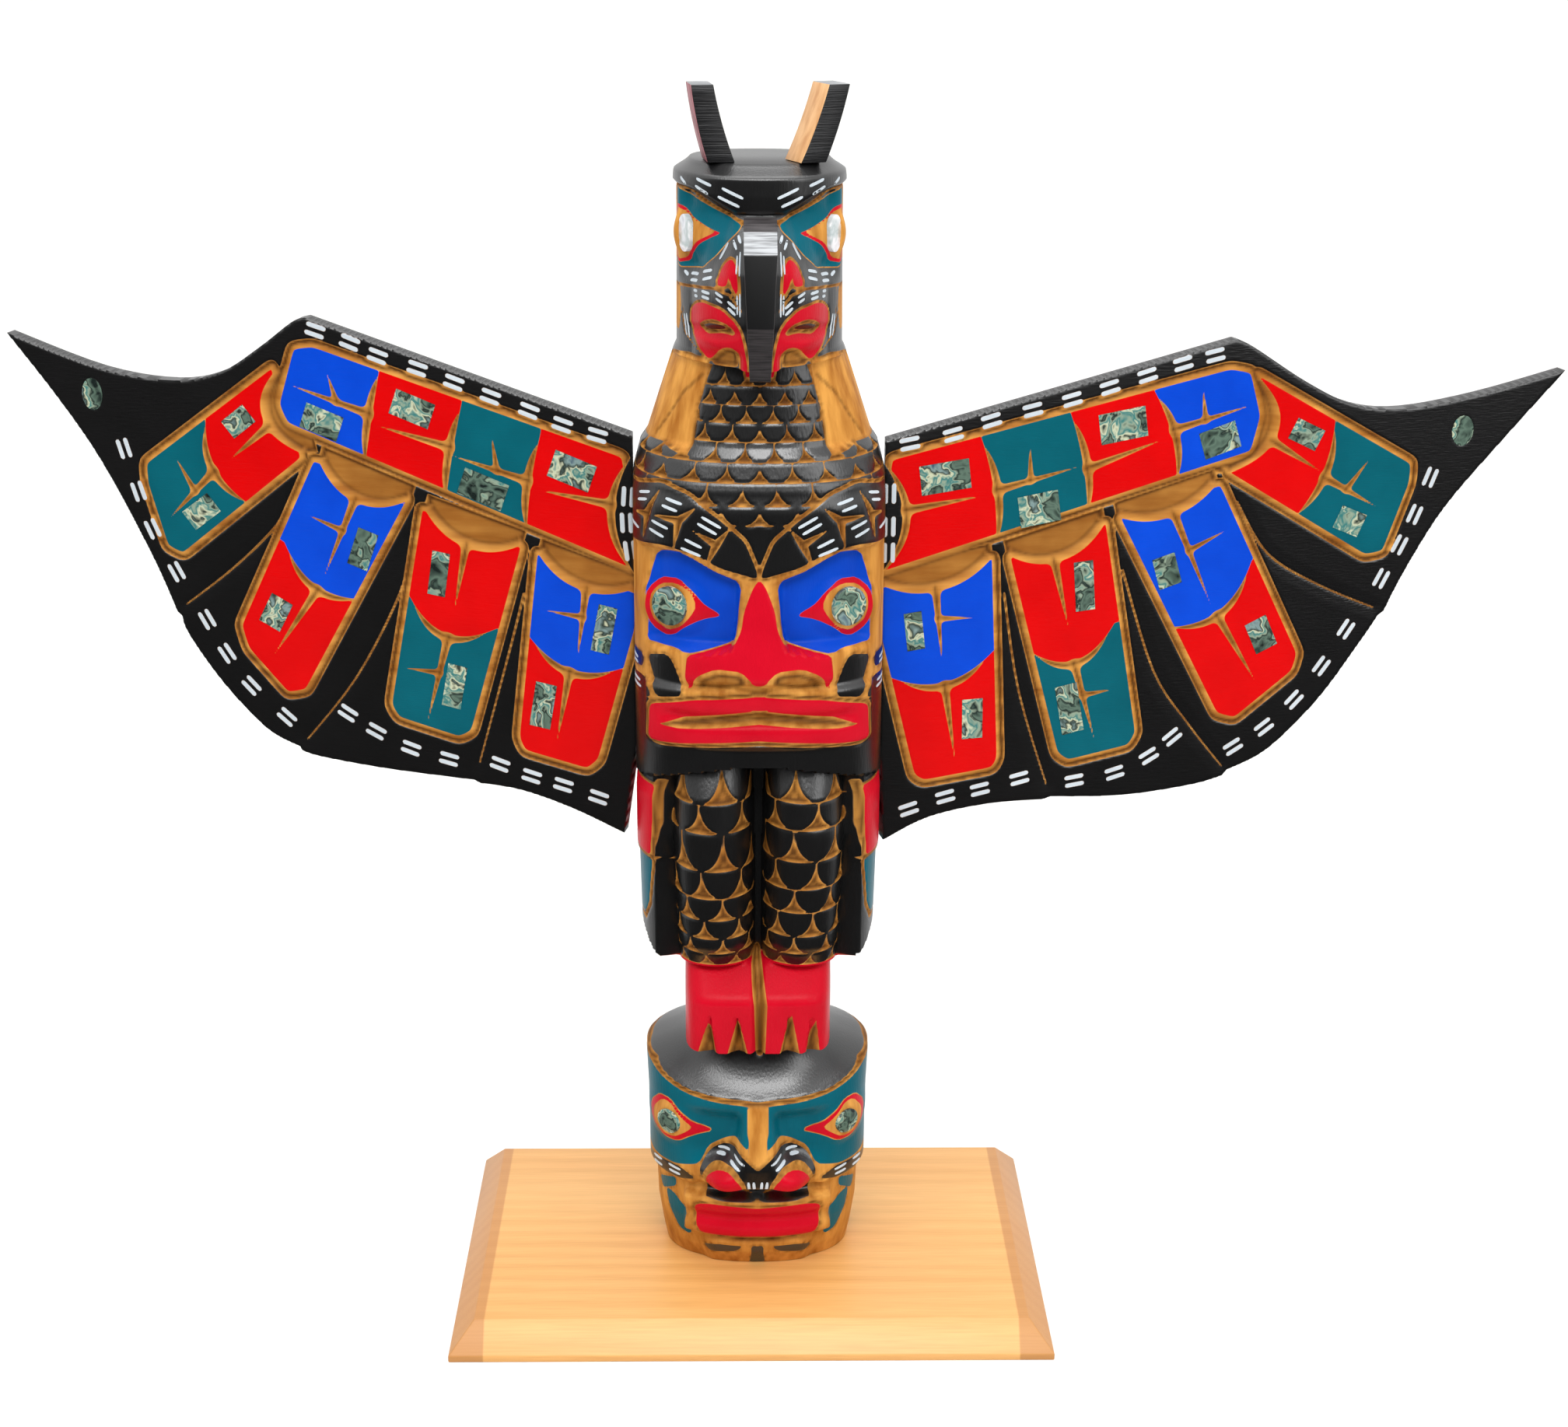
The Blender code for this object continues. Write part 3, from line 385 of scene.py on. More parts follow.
def big_face(angle, z, radius):
    """The broad face on the body: lips, T-shaped nose, sunken sockets, round eyes, brows."""
    x = radius * np.sin(angle)
    side = np.abs(x)
    front = ramp(0.0, 0.2, np.cos(angle))
    rise = np.zeros_like(z)
    lips = (1 - ramp(60, 64, side)) * ramp(353, 357, z) * (1 - ramp(387, 391, z))
    slot = (1 - ramp(46, 55, side)) * np.exp(-((z - 372) / 4.0) ** 2)
    rise += 3.0 * lips - 4.0 * slot
    brow_line = np.interp(side, (8, 24, 37, 46, 62), (450, 456, 463, 466.5, 465.5))
    under_brow = 1 - ramp(-3, 1, z - brow_line)
    socket = ramp(9, 15, side) * (1 - ramp(58, 66, side)) * ramp(408, 416, z) * under_brow
    rise -= 7.0 * socket
    rise += 6.5 * bump(side - 49, z - 433, 21, 18)
    rise += 2.0 * ramp(-2, 3, z - brow_line) * (1 - ramp(488, 500, z))
    wing = np.interp(z, (392, 408, 413, 434, 453), (41, 38, 15, 9, 3))
    nose = (1 - ramp(wing - 2, wing + 3, side)) * ramp(389, 396, z) * (1 - ramp(448, 456, z))
    tall = np.interp(z, (389, 398, 434, 453), (9, 11, 5, 2)) * (1 - 0.65 * np.clip(side / 40, 0, 1))
    rise = rise * (1 - nose) + tall * nose
    return radius + rise * front


def breast(angle, z, radius):
    """A collar of two flat facets, one each side of the breast."""
    x = np.abs(radius * np.sin(angle))
    inner = np.interp(z, (517, 569), (36, 26))
    outer = np.interp(z, (517, 569), (58, 46))
    facet = ramp(0, 3, x - inner) * (1 - ramp(-4, 6, x - outer)) * ramp(519, 523, z) * (1 - ramp(564, 569, z))
    return radius - 2.2 * facet * (np.cos(angle) > 0)


def bird_head(angle, z, radius):
    """The bird's head: cap, sunken sockets, and a muzzle that carries the beak."""
    turned = np.abs(angle)
    muzzle = np.interp(z, (566, 571, 592, 618, 634, 646), (26, 28, 31, 29, 20, 0))
    wedge = np.clip(1 - turned / math.radians(50), 0, 1) ** 1.3
    out = radius + muzzle * wedge
    x = out * np.sin(angle)
    side = np.abs(x)
    cap = 646 + 13 * ramp(5, 40, side)
    out = out + 2.5 * ramp(-1.5, 1.5, z - cap) * (1 - ramp(664, 670, z)) * (np.cos(angle) > -0.2)
    socket = ramp(0.20, 0.38, turned) * (1 - ramp(0.95, 1.25, turned)) * ramp(606, 618, z)
    out = out - 5.0 * socket * (1 - ramp(-4, 0, z - cap))
    out = out + 5.5 * bump((turned - 1.0) * 45, z - 633, 18, 16)
    out = out + 2.5 * bump(side - 19, z - 613, 9, 14)
    mouth = bump(side - 23, z - 588 + 0.1 * side, 17, 5)
    out = out - 4.0 * mouth * (turned < 1.0)
    under = ramp(0.12, 0.2, turned) * (1 - ramp(0.6, 0.8, turned)) * (1 - ramp(572, 579, z))
    return out - 0.35 * muzzle * wedge * under


def pole_radius(angle, z):
    """The carved pole's radius, in drawn millimetres, at each angle and height."""
    radius = log_radius(angle, z)
    low = hollow_top(angle, z, lower_head(angle, z, radius))
    chin = CHIN_SIDE + (CHIN_FRONT - CHIN_SIDE) * np.clip(np.cos(angle), 0, 1) ** 2
    body = tail(angle, z, radius)
    body = np.where(z > 216, np.maximum(body, legs(angle, z)), body)
    body = np.where((z > TOES) & (z < ANKLES), np.maximum(feet(angle, z), np.minimum(body, 44)), body)
    shape = np.where(z < TOES, low, np.maximum(body, np.where(z < 172, low, 0)))
    upper = np.where(z < 505, big_face(angle, z, radius), breast(angle, z, radius))
    upper = np.where(z > 566, bird_head(angle, z, radius), upper)
    return np.where(z > chin, upper, shape)


PAINTS = ("black", "red", "teal", "blue", "dash")


class Carving:
    """Painted and bare areas of a carved surface.

    For each finish it keeps a signed distance in millimetres at every point, positive inside.
    "wood" is bare wood cut below the surface, "bare" is bare wood that is level with it.
    """
    REACH = 7.0

    def __init__(self, u, v):
        self.u, self.v = u, v
        self.far = {name: np.full(u.shape, -self.REACH) for name in PAINTS + ("bare", "wood")}
        self.far["black"][:] = self.REACH

    def lay(self, finish, inside):
        """Puts a finish over what is there, wherever its distance is positive."""
        for name, far in self.far.items():
            if name == finish:
                np.maximum(far, inside, out=far)
            else:
                np.minimum(far, -inside, out=far)

    def near(self, points, margin):
        """The points of the surface that lie within a margin of a shape's box."""
        lows, highs = np.min(points, axis=0) - margin, np.max(points, axis=0) + margin
        return (self.u > lows[0]) & (self.u < highs[0]) & (self.v > lows[1]) & (self.v < highs[1])

    def area(self, points):
        """Signed distance to a closed outline."""
        points = np.array(points, float)
        found = np.full(self.u.shape, -self.REACH)
        chosen = self.near(points, self.REACH)
        u, v = self.u[chosen], self.v[chosen]
        nearest = np.full(u.shape, self.REACH ** 2 * 4)
        crossings = np.zeros(u.shape, bool)
        for (au, av), (bu, bv) in zip(points, np.roll(points, -1, axis=0)):
            du, dv = bu - au, bv - av
            t = np.clip(((u - au) * du + (v - av) * dv) / (du * du + dv * dv + 1e-9), 0, 1)
            nearest = np.minimum(nearest, (u - au - t * du) ** 2 + (v - av - t * dv) ** 2)
            if av != bv:
                crossings ^= ((v >= min(av, bv)) & (v < max(av, bv)) & (u < au + (v - av) * du / dv))
        distance = np.sqrt(nearest) * np.where(crossings, 1, -1)
        found[chosen] = np.clip(distance, -self.REACH, self.REACH)
        return found

    def stroke(self, points, start, end=None):
        """Signed distance to a line whose half width goes from start to end."""
        points = np.array(points, float)
        end = start if end is None else end
        found = np.full(self.u.shape, -self.REACH)
        chosen = self.near(points, self.REACH + max(start, end))
        u, v = self.u[chosen], self.v[chosen]
        best = np.full(u.shape, -2 * self.REACH)
        runs = np.hypot(*np.diff(points, axis=0).T)
        gone = 0.0
        for (au, av), (bu, bv), run in zip(points, points[1:], runs):
            du, dv = bu - au, bv - av
            t = np.clip(((u - au) * du + (v - av) * dv) / (run * run), 0, 1)
            half = start + (end - start) * (gone + t * run) / runs.sum()
            best = np.maximum(best, half - np.hypot(u - au - t * du, v - av - t * dv))
            gone += run
        found[chosen] = np.clip(best, -self.REACH, self.REACH)
        return found

    def put(self, finish, points, rim=0.0, mirror=True, soften=1):
        """Paints an area, with a cut of bare wood rim wide round it, on one side or both."""
        if soften:
            points = softened(points, soften)
        inside = self.area(points)
        if mirror:
            inside = np.maximum(inside, self.area([(-u, v) for u, v in points]))
        if rim:
            self.lay("wood", inside + rim)
        self.lay(finish, inside)

    def cut(self, points, start, end=None, mirror=True, finish="wood"):
        """A carved or painted line, on one side or both."""
        for side in ((1, -1) if mirror else (1,)):
            self.lay(finish, self.stroke([(side * u, v) for u, v in points], start, end))

    def depth(self, slope_colour, slope_black, deepest):
        """How far the wood is cut away: gently from colours, steeply from black."""
        colour = -np.maximum.reduce([self.far[n] for n in ("red", "teal", "blue", "dash", "bare")])
        cut = np.minimum(slope_colour * colour, -slope_black * self.far["black"])
        return np.clip(cut, 0, deepest) * (self.far["wood"] > 0)


def softened(points, times):
    """Cuts the corners of a closed outline, a few tenths of each side at most."""
    for _ in range(times):
        out = []
        for i, here in enumerate(points):
            for other in (points[i - 1], points[(i + 1) % len(points)]):
                length = math.dist(here, other) or 1.0
                share = min(0.25, 2.0 / length)
                out.append((here[0] + (other[0] - here[0]) * share, here[1] + (other[1] - here[1]) * share))
        points = out
    return points


def creases(depth):
    """Where painted shade and stain are darkest: the bottoms of the cuts, from 0 to 1, on a grid of depths.
    """
    padded = np.pad(depth, 1, mode="edge")
    around_it = padded[2:, 1:-1] + padded[:-2, 1:-1] + padded[1:-1, 2:] + padded[1:-1, :-2]
    bend = np.clip(4 * depth - around_it, 0, 1.2) / 1.2
    padded = np.pad(bend, 1, mode="edge")
    spread = padded[2:, 1:-1] + padded[:-2, 1:-1] + padded[1:-1, 2:] + padded[1:-1, :-2]
    return np.clip(0.6 * bend + 0.22 * spread, 0, 1)


def scales(carving, u, v, width, rows, chosen, peak):
    """Rows of U-shaped scales: three-sided chips of bare wood between them, over each row's line."""
    found = np.full(u.shape, -carving.REACH)
    for k, (low, high) in enumerate(zip(rows[1:], rows)):
        tall = high - low
        here = np.mod(u / width + 0.5 * (k % 2) + 0.5, 1) - 0.5
        rise = v - low
        up = np.clip(rise / (peak * tall), 0, 1)
        half = 0.48 * width * (1 - np.sqrt(1 - (1 - up) ** 2)) + 0.35
        chip = np.minimum((half - np.abs(here) * width) * 0.85, rise + 0.4)
        chip = np.where(rise > tall, -carving.REACH, chip)
        found = np.maximum(found, chip)
    carving.lay("wood", np.where(chosen, found, -carving.REACH))


# rows closer together where the carving is fine
levels = np.concatenate([np.arange(20, 164, 1.3), np.arange(164, 218, 1.6), np.arange(218, 330, 1.45),
                         np.arange(330, 505, 1.35), np.arange(505, 566, 1.3), np.linspace(566, 671, 88)])
front = np.linspace(-0.60, 0.60, 172) * math.pi
back = np.linspace(0.60, 1.40, 22)[1:-1] * math.pi
turns = np.concatenate((front, back))
rows, columns = len(levels), len(turns)
theta, level = np.meshgrid(turns, levels)
radius = pole_radius(theta, level)
east, south = radius * np.sin(theta), radius * np.cos(theta)
wrapped = np.where(theta > math.pi, theta - 2 * math.pi, theta)
paint = Carving(wrapped * ROUND, level)

# breast: scales between the two flat bare facets of the collar
BREAST_ROWS = (576, 566, 555.7, 545.7, 536.0, 525.9, 515.5, 505.0, 492.9, 482.3)
scales(paint, paint.u, paint.v, np.interp(level, (482, 560), (20.5, 17.0)), BREAST_ROWS,
       (level > 480) & (level < 566) & (np.abs(paint.u) < 105), 0.8)
paint.put("bare", [(-105, 564), (-105, 523), (-68.4, 523), (-45.5, 518.4), (-46.3, 542.8), (-35.6, 568.5),
                   (-60, 569), (-90, 567)], rim=1.3, soften=0)
paint.cut([(-44, 560), (-60, 549), (-79, 524)], 0.7)

# brows with forked cuts, and a thin line of wood above
paint.put("black", [(-105, 497), (-75, 498.5), (-55.3, 502.3), (-39.3, 497.8), (-21.6, 485.4), (-8.1, 473.5),
                    (-2.1, 459), (-0.6, 452.8), (-20.9, 458.7), (-34.5, 466), (-51.8, 469), (-75, 466.5),
                    (-105, 466.5)], rim=2.1)
paint.put("black", [(-6, 481), (0, 483), (5, 481), (0, 460)], mirror=False)
for fork, *arms in (((-43.1, 483.4), (-58.9, 484.6), (-33.9, 491.2), (-45.4, 467.6)),
                    ((-23.2, 471.7), (-35.1, 478.5), (-16.3, 480.4), (-28.7, 458.4)),
                    ((-63.2, 483.6), (-55.9, 498.5), (-74.6, 483.1), (-66.0, 469))):
    for arm in arms:
        paint.cut([fork, arm], 2.3, 0.3)

# big face: bare frame, blue sockets, red lids, nose and lips
paint.put("bare", [(5, 449), (0, 452.8), (-3, 451.5), (-20.9, 457.5), (-34.5, 464.8), (-51.8, 467.8),
                   (-105, 465), (-105, 379),
                   (-63, 379), (5, 388)], soften=0)
paint.put("blue", [(-62.5, 462.5), (-49.8, 464.8), (-39.4, 461), (-24.6, 454.3), (-10.1, 448.3), (-12.5, 432),
                   (-12.6, 419), (-20.4, 413.2), (-40, 408.6), (-46.5, 410.9), (-66.5, 411.3),
                   (-66.5, 440)], rim=0.7)
paint.put("red", [(-66, 428.8), (-64.9, 441.6), (-59.7, 448.3), (-47.4, 449.3), (-38.2, 443), (-31.5, 434.8),
                  (-22.9, 429.5), (-33.9, 427.6), (-42.2, 422.9), (-51.1, 416.4), (-59.2, 415.1),
                  (-64.7, 419.5)])
paint.put("bare", [(-63.2, 431.2), (-62.7, 440.2), (-58.4, 445), (-48.5, 446.8), (-39.6, 443), (-35.8, 435.4),
                   (-38.8, 429), (-44.7, 422.6), (-54.7, 418.6), (-62.4, 421.7)])
paint.put("red", [(3, 449), (0, 452.6), (-3, 449), (-5.2, 443.8), (-8.3, 434.8), (-9.3, 424.7),
                  (-13.3, 415.6), (-38.6, 408.1),
                  (-38.4, 401.5), (-38, 386.8), (-34.5, 393.7), (-30.8, 398.3), (-21.8, 402.9), (-8.9, 402.2),
                  (-4.1, 397.1), (0, 392.5), (5, 397)], rim=0.6)
paint.put("wood", [(-34.5, 391), (-30.8, 397), (-21.8, 401.5), (-8.9, 401), (-5.5, 396), (-9, 391),
                   (-20, 389),
                   (-34, 388.5)])
paint.put("black", [(-64.2, 403.6), (-50.6, 406.9), (-46.9, 402.1), (-40.2, 384.6), (-55.4, 381.6)], rim=1.2)
paint.put("black", [(-105, 403), (-68.3, 402.5), (-69, 394.5), (-105, 392)], rim=1.0)
paint.put("black", [(-105, 388), (-69, 390), (-61, 386), (-58.5, 380), (-105, 379)], rim=1.0)
paint.put("red", [(5, 386.2), (-1, 386), (-34.4, 383.2), (-57.5, 377.3), (-60.2, 374.6), (-61, 356.6),
                  (-58.5, 355), (-30, 358.3), (5, 360.6)], rim=2.8)
paint.put("wood", [(5, 378), (-1, 377.8), (-41.6, 371.6), (-53.7, 366), (-43.1, 365.5), (5, 369.8)], soften=0)

# folded tail beside the legs: a red and a teal feather edged with bare wood
paint.put("red", [(-125, 326), (-62, 326), (-61, 309.7), (-63, 295), (-66, 282), (-125, 283)])
paint.put("teal", [(-125, 280), (-64.5, 280), (-67, 267), (-71, 252), (-77, 243), (-125, 240)])
paint.cut([(-60.6, 328.4), (-61.4, 322.5), (-62, 302.9), (-65.6, 275), (-70.6, 250), (-78, 239.5),
           (-125, 238)], 1.5)
paint.cut([(-62, 281.5), (-125, 281.5)], 0.9)
paint.cut([(-125, 326.5), (-60, 326.5)], 0.7)

# legs: scales that follow each round leg
LEG_ROWS = {-1: (346, 320, 303, 280, 263, 249.5, 238, 228, 219.5),
            1: (343, 321, 305, 286, 269, 254.5, 239.5, 228, 219)}
for side, leg_rows in LEG_ROWS.items():
    round_leg = 25.0 * np.arctan2(east - side * 25, south - 30 + 12)
    on_leg = (level > 219) & (level < 341) & (np.abs(round_leg) < 52)
    on_leg &= (east * side > 0) & (np.abs(east) < 54)
    on_leg &= (np.abs(theta) < 1.5) & (south > 26) & (legs(theta, level) > radius - 0.2)
    scales(paint, round_leg + 3 * side, level, np.interp(level, (220, 330), (12.5, 17.5)), leg_rows, on_leg,
           0.85)

# feet: red, with a bare cut between them and two pointed cuts between the toes of each
paint.put("red", [(-98, 219.5), (98, 219.5), (98, 164.5), (-98, 164.5)], mirror=False, soften=0)
paint.cut([(-1.5, 219), (1.5, 197), (1.5, 163)], 4.8, 3.2, mirror=False)
for point, one, other in (((-30.5, 186), -38.5, -27), ((-12.8, 189.7), -20.5, -6.5),
                          ((20.4, 192.5), 14, 27), ((35.1, 186.8), 31, 40)):
    paint.put("wood", [point, (one, 163.5), (other, 163.5)], mirror=False, soften=0)

# lower head: teal under the bare rim, wood down the nose, black bands over the nostrils, red lips
paint.put("bare", [(5, 134), (-105, 134), (-105, 20), (5, 20)], soften=0)
paint.put("teal", [(5, 133.5), (0, 134), (-27.3, 136.2), (-43.8, 138.6), (-64.9, 143.6), (-76.3, 146.6),
                   (-105, 148.6), (-105, 89), (-77.5, 87.5), (-54.3, 88.5), (-37.7, 92.5), (-35, 102.8),
                   (-25.7, 108.3), (-13.7, 113.1), (-7, 112), (0, 98), (5, 105)])
paint.cut([(0, 135.6), (-27.3, 137.9), (-43.8, 140.2), (-64.9, 145.3), (-76.3, 148.3), (-105, 150),
           (-204, 150)], 1.2)
paint.put("bare", [(5, 134.6), (-6.3, 134.6), (-5.9, 119.4), (-3.6, 109.1), (0, 95), (5, 105)], soften=0)
paint.put("black", [(-37, 88), (-35.9, 95.5), (-33.3, 100.9), (-25.9, 105.1), (-17, 106.8), (-9, 105.8),
                    (-2.1, 98.5), (5, 93), (5, 72), (-5.8, 72), (-6.8, 87.7), (-11.5, 96.6), (-20.8, 98),
                    (-29.2, 96), (-32.5, 91.2), (-36, 84)], rim=1.3)
paint.put("red", [(-32.9, 83.5), (-28.2, 91.2), (-21.6, 95), (-14, 94.8), (-9, 87.4), (-7.9, 74), (-18.4, 77),
                  (-27, 82)], rim=1.2)
paint.put("black", [(-36, 71.5), (-37.5, 77), (-30, 81), (-20, 76), (-7, 73.5), (5, 71), (5, 71.2),
                    (-7.8, 70.5),
                    (-22.1, 70.5)], rim=0.4)
paint.put("black", [(-105, 86), (-80, 85), (-66, 87), (-50.7, 87.5), (-39.7, 82), (-51, 79.5), (-66, 79),
                    (-80, 77), (-105, 77)], rim=0.9)
paint.put("teal", [(-73, 63.1), (-64.4, 63.6), (-50, 53.4), (-54, 36), (-64, 38), (-72, 54.6)], rim=0.9)
paint.put("teal", [(-83, 67), (-60, 75.5), (-60.3, 69.1), (-78.3, 60.3)], rim=0.9)
paint.put("red", [(-38.5, 66.5), (-28.4, 68.2), (-7.8, 67.1), (5, 66.3), (5, 41), (-14, 40.5), (-29, 41.5),
                  (-39, 45), (-42.7, 54), (-42, 62)], rim=1.8)
paint.put("black", [(-45.6, 32), (-31.8, 35), (-11.4, 34.6), (-17, 30.5), (-29.4, 29), (-39, 28)], rim=0.9)
paint.put("black", [(5, 35), (0, 35), (-4.5, 31), (-7.5, 19), (5, 19)], rim=0.9)
paint.put("red", [(-76, 122), (-66, 130.3), (-56, 131), (-46.5, 124.6), (-41.3, 119), (-31, 113.4),
                  (-42.7, 110.6),
                  (-50.3, 105.6), (-62, 105), (-74, 111)], rim=0.5)
paint.put("bare", [(-71, 120), (-63, 128.5), (-55.5, 129), (-48.3, 123.6), (-43.9, 118.8), (-41.5, 115.6),
                   (-46, 111.9), (-52, 108), (-62, 107.6), (-70, 112)])

# bird's head: teal sockets under the cap, bare side strips, nostrils, jaws, lines of the cheeks
paint.cut([(0, 641.8), (-11.5, 642.4), (-29, 646.4), (-44, 650.9), (-60, 655.5), (-70, 657.5),
           (-120, 658.5)], 1.0)
paint.put("bare", [(-86, 657.5), (-84, 640), (-84, 619), (-125, 619), (-125, 657.5)], rim=0.6)
paint.put("teal", [(-84, 657), (-68, 654), (-46.7, 650), (-29, 645.5), (-12, 641.6), (-13.2, 638.5),
                   (-21.4, 631.7),
                   (-30, 624.4), (-45, 617), (-63, 615.5), (-78, 614.5), (-86, 619)], rim=0.5)
paint.put("red", [(-91, 640), (-84, 648), (-71, 646.8), (-56.8, 642), (-41.4, 637.8), (-27.1, 636),
                  (-37.2, 633),
                  (-48, 629.3), (-58, 623.8), (-66, 618.6), (-80, 616.5), (-91, 624)])
paint.put("bare", [(-89.5, 640), (-82, 646), (-70, 644.9), (-52, 640), (-39.8, 637), (-33.3, 635.9),
                   (-39.8, 634),
                   (-51.7, 630), (-60.8, 624.5), (-68, 620.3), (-80, 618.3), (-89.5, 626)])
paint.put("red", [(-15.3, 625.2), (-19.3, 623), (-23.1, 618.6), (-25.5, 610.8), (-18.1, 610.5),
                  (-16.7, 613.6),
                  (-16, 618.2), (-14.7, 612.2), (-12.7, 608.6), (-10.8, 605.5), (-11.2, 614.6),
                  (-12.3, 621.8)],
          rim=1.5)
paint.cut([(-95, 604.5), (-60, 605.8), (-37.4, 607.6), (-25, 608.8), (-16, 607), (-9.5, 599)], 0.8)
paint.put("bare", [(-75, 603.5), (-74, 592), (-79, 581), (-125, 581), (-125, 603.5)], rim=0.6)
paint.cut([(-73, 590.7), (-67, 580.7), (-54.8, 575.3), (-38.5, 570.7)], 0.9, 0.3)
paint.cut([(-70, 604), (-70.5, 596), (-68, 586), (-60, 577)], 0.6, 0.3)
paint.put("red", [(-57.5, 594), (-48, 598), (-37, 600), (-20.7, 598.2), (-11.6, 592), (-8.4, 583.4),
                  (-5.9, 568),
                  (-7.4, 559.4), (-10.7, 560.4), (-10.3, 571.2), (-12.5, 578.5), (-19.6, 578.6),
                  (-28.5, 573.2),
                  (-34.1, 569.2), (-41.8, 572), (-48.6, 578), (-57.6, 585.1)], rim=1.5)
paint.put("wood", [(-46.3, 586.5), (-35, 591), (-26.8, 592.6), (-16.5, 591.0), (-12.1, 585), (-21, 585.4),
                   (-35.6, 583.1)])
paint.put("black", [(-40, 587.2), (-31, 589.8), (-23, 590.4), (-17, 588.6), (-24, 586.9), (-35, 585.6)])
paint.put("wood", [(-33.2, 569.7), (-23.4, 576.7), (-14.4, 577.9), (-13, 572.4), (-12, 567.5), (-30, 567)])

# pairs of pale dashes
DASHES = (
    ((-46, 663.6), (-33.5, 660.6)), ((-47, 659.8), (-36, 656.2)), ((-25.6, 659.7), (-11.3, 654.7)),
    ((-28.5, 655.3), (-14, 650.3)), ((-66, 663), (-57.5, 660)), ((-71.2, 612.7), (-64.5, 611)),
    ((-61.6, 612.3), (-50, 612.8)), ((-59, 609.1), (-48, 609.8)), ((-43.7, 614.8), (-32.5, 616.9)),
    ((-41, 611.3), (-31, 613.5)), ((-52, 604.4), (-45.5, 604.8)), ((-50.5, 601.8), (-45, 602)),
    ((-39.3, 605.6), (-30.6, 605.4)), ((-39.1, 602.8), (-31, 602.6)), ((-25.2, 607), (-19.7, 605.1)),
    ((-25, 603.8), (-20.4, 602.1)), ((-16.8, 603.3), (-12.2, 600.0)), ((-16.9, 600.0), (-12.3, 596.6)),
    ((-12.9, 636.7), (-10.6, 633.2)), ((-15.4, 634.3), (-12.9, 629.9)), ((-19.4, 632.4), (-26, 623.3)),
    ((-63.5, 590.7), (-59.1, 578.2)), ((-66.7, 590.3), (-63.6, 578.8)),
    ((-51.1, 494.6), (-41.5, 492.5)), ((-52.6, 490.6), (-43.7, 488.6)), ((-58.8, 481.1), (-48.6, 478.2)),
    ((-60.4, 476.3), (-50.9, 473.3)), ((-30.7, 486.7), (-20.7, 481.1)), ((-32.8, 483), (-22.9, 477.5)),
    ((-39.2, 473.7), (-30.5, 469.7)), ((-41.2, 468.7), (-31, 465.1)), ((-71.6, 494.1), (-62.5, 496)),
    ((-71.5, 490.1), (-63.6, 491.8)), ((-80, 477), (-69.7, 474.4)), ((-90, 399.5), (-76, 398)),
    ((-90, 395.5), (-76, 395)), ((-90, 386), (-73, 385.5)), ((-90, 382.5), (-72, 382)),
    ((-78, 84.2), (-67, 85.8)), ((-78, 80.6), (-67, 81.8)), ((-60.1, 85.9), (-50.5, 85.2)),
    ((-59.9, 82.3), (-51, 81.9)), ((-28, 102.8), (-18.6, 103.3)), ((-28.4, 99.6), (-21.3, 100.4)),
    ((-14.7, 102.6), (-7.2, 100.4)), ((-16.7, 99.3), (-9.7, 96.8)), ((-5.2, 89), (-4.2, 76)),
    ((-2.3, 89), (-1.4, 76)),
)
FINE_DASHES = (((-10.6, 629), (-10.4, 617)), ((-12.2, 627), (-12, 618)), ((-10, 608), (-9.8, 596)),
               ((-11.5, 607), (-11.3, 597)))
# the surface is let in under the shell eyes
EYES = {"lower_eye": (48.5, 117.5, 8.6, 7.2, 44), "face_eye": (44.0, 434.0, 10.9, 10.9, 33),
        "bird_eye": (57.5, 633.5, 7.2, 10.0, 62)}
under_eyes = np.zeros(theta.shape)
for degrees_out, eye_level, rx, rz, looks in EYES.values():
    reach_out = np.abs(np.abs(wrapped) - math.radians(degrees_out)) * pole_radius(
        np.array([math.radians(degrees_out)]), np.array([eye_level]))[0]
    oval = 1 - np.hypot(reach_out / (rx - 0.9), (level - eye_level) / (rz - 0.9))
    under_eyes = np.maximum(under_eyes, np.clip(oval * 8, 0, 1))

cut_depth = paint.depth(0.75, 1.15, 1.9)
crease = creases(cut_depth)
carved = radius - cut_depth - 2.2 * under_eyes
SEAT, SEAT_LOW, SEAT_HIGH = 69.8, 278.0, 523.0
flat = (np.abs(carved * np.sin(theta)) > SEAT) & (level > SEAT_LOW) & (level < SEAT_HIGH)
carved = np.where(flat, SEAT / np.maximum(np.abs(np.sin(theta)), 0.2), carved)


def mesh_grid(name, wide, tall):
    """A flat grid as a mesh, the places of its vertices, and the row and column of each."""
    bm = bmesh.new()
    bmesh.ops.create_grid(bm, x_segments=wide, y_segments=tall, size=1.0)
    mesh = bpy.data.meshes.new(name)
    bm.to_mesh(mesh)
    bm.free()
    where = np.empty(len(mesh.vertices) * 3)
    mesh.vertices.foreach_get("co", where)
    where = where.reshape(-1, 3)
    column_of = np.rint((where[:, 0] + 1) / 2 * wide).astype(int)
    row_of = np.rint((where[:, 1] + 1) / 2 * tall).astype(int)
    return mesh, where, row_of, column_of


def put_attributes(mesh, carving, crease, cut, spots):
    """Writes how far inside each paint a vertex is, its crease and its depth of cut."""
    fields = {name: carving.far[name] for name in PAINTS}
    fields["crease"], fields["cut"] = crease, cut
    for name, values in fields.items():
        written = mesh.attributes.new(name, "FLOAT", "POINT")
        written.data.foreach_set("value", values[spots].astype(np.float32))


def paint_only(bm, vert, finish, far):
    """Puts one paint on a vertex and keeps the others off it."""
    for name in PAINTS:
        vert[bm.verts.layers.float[name]] = far if name == finish else -far


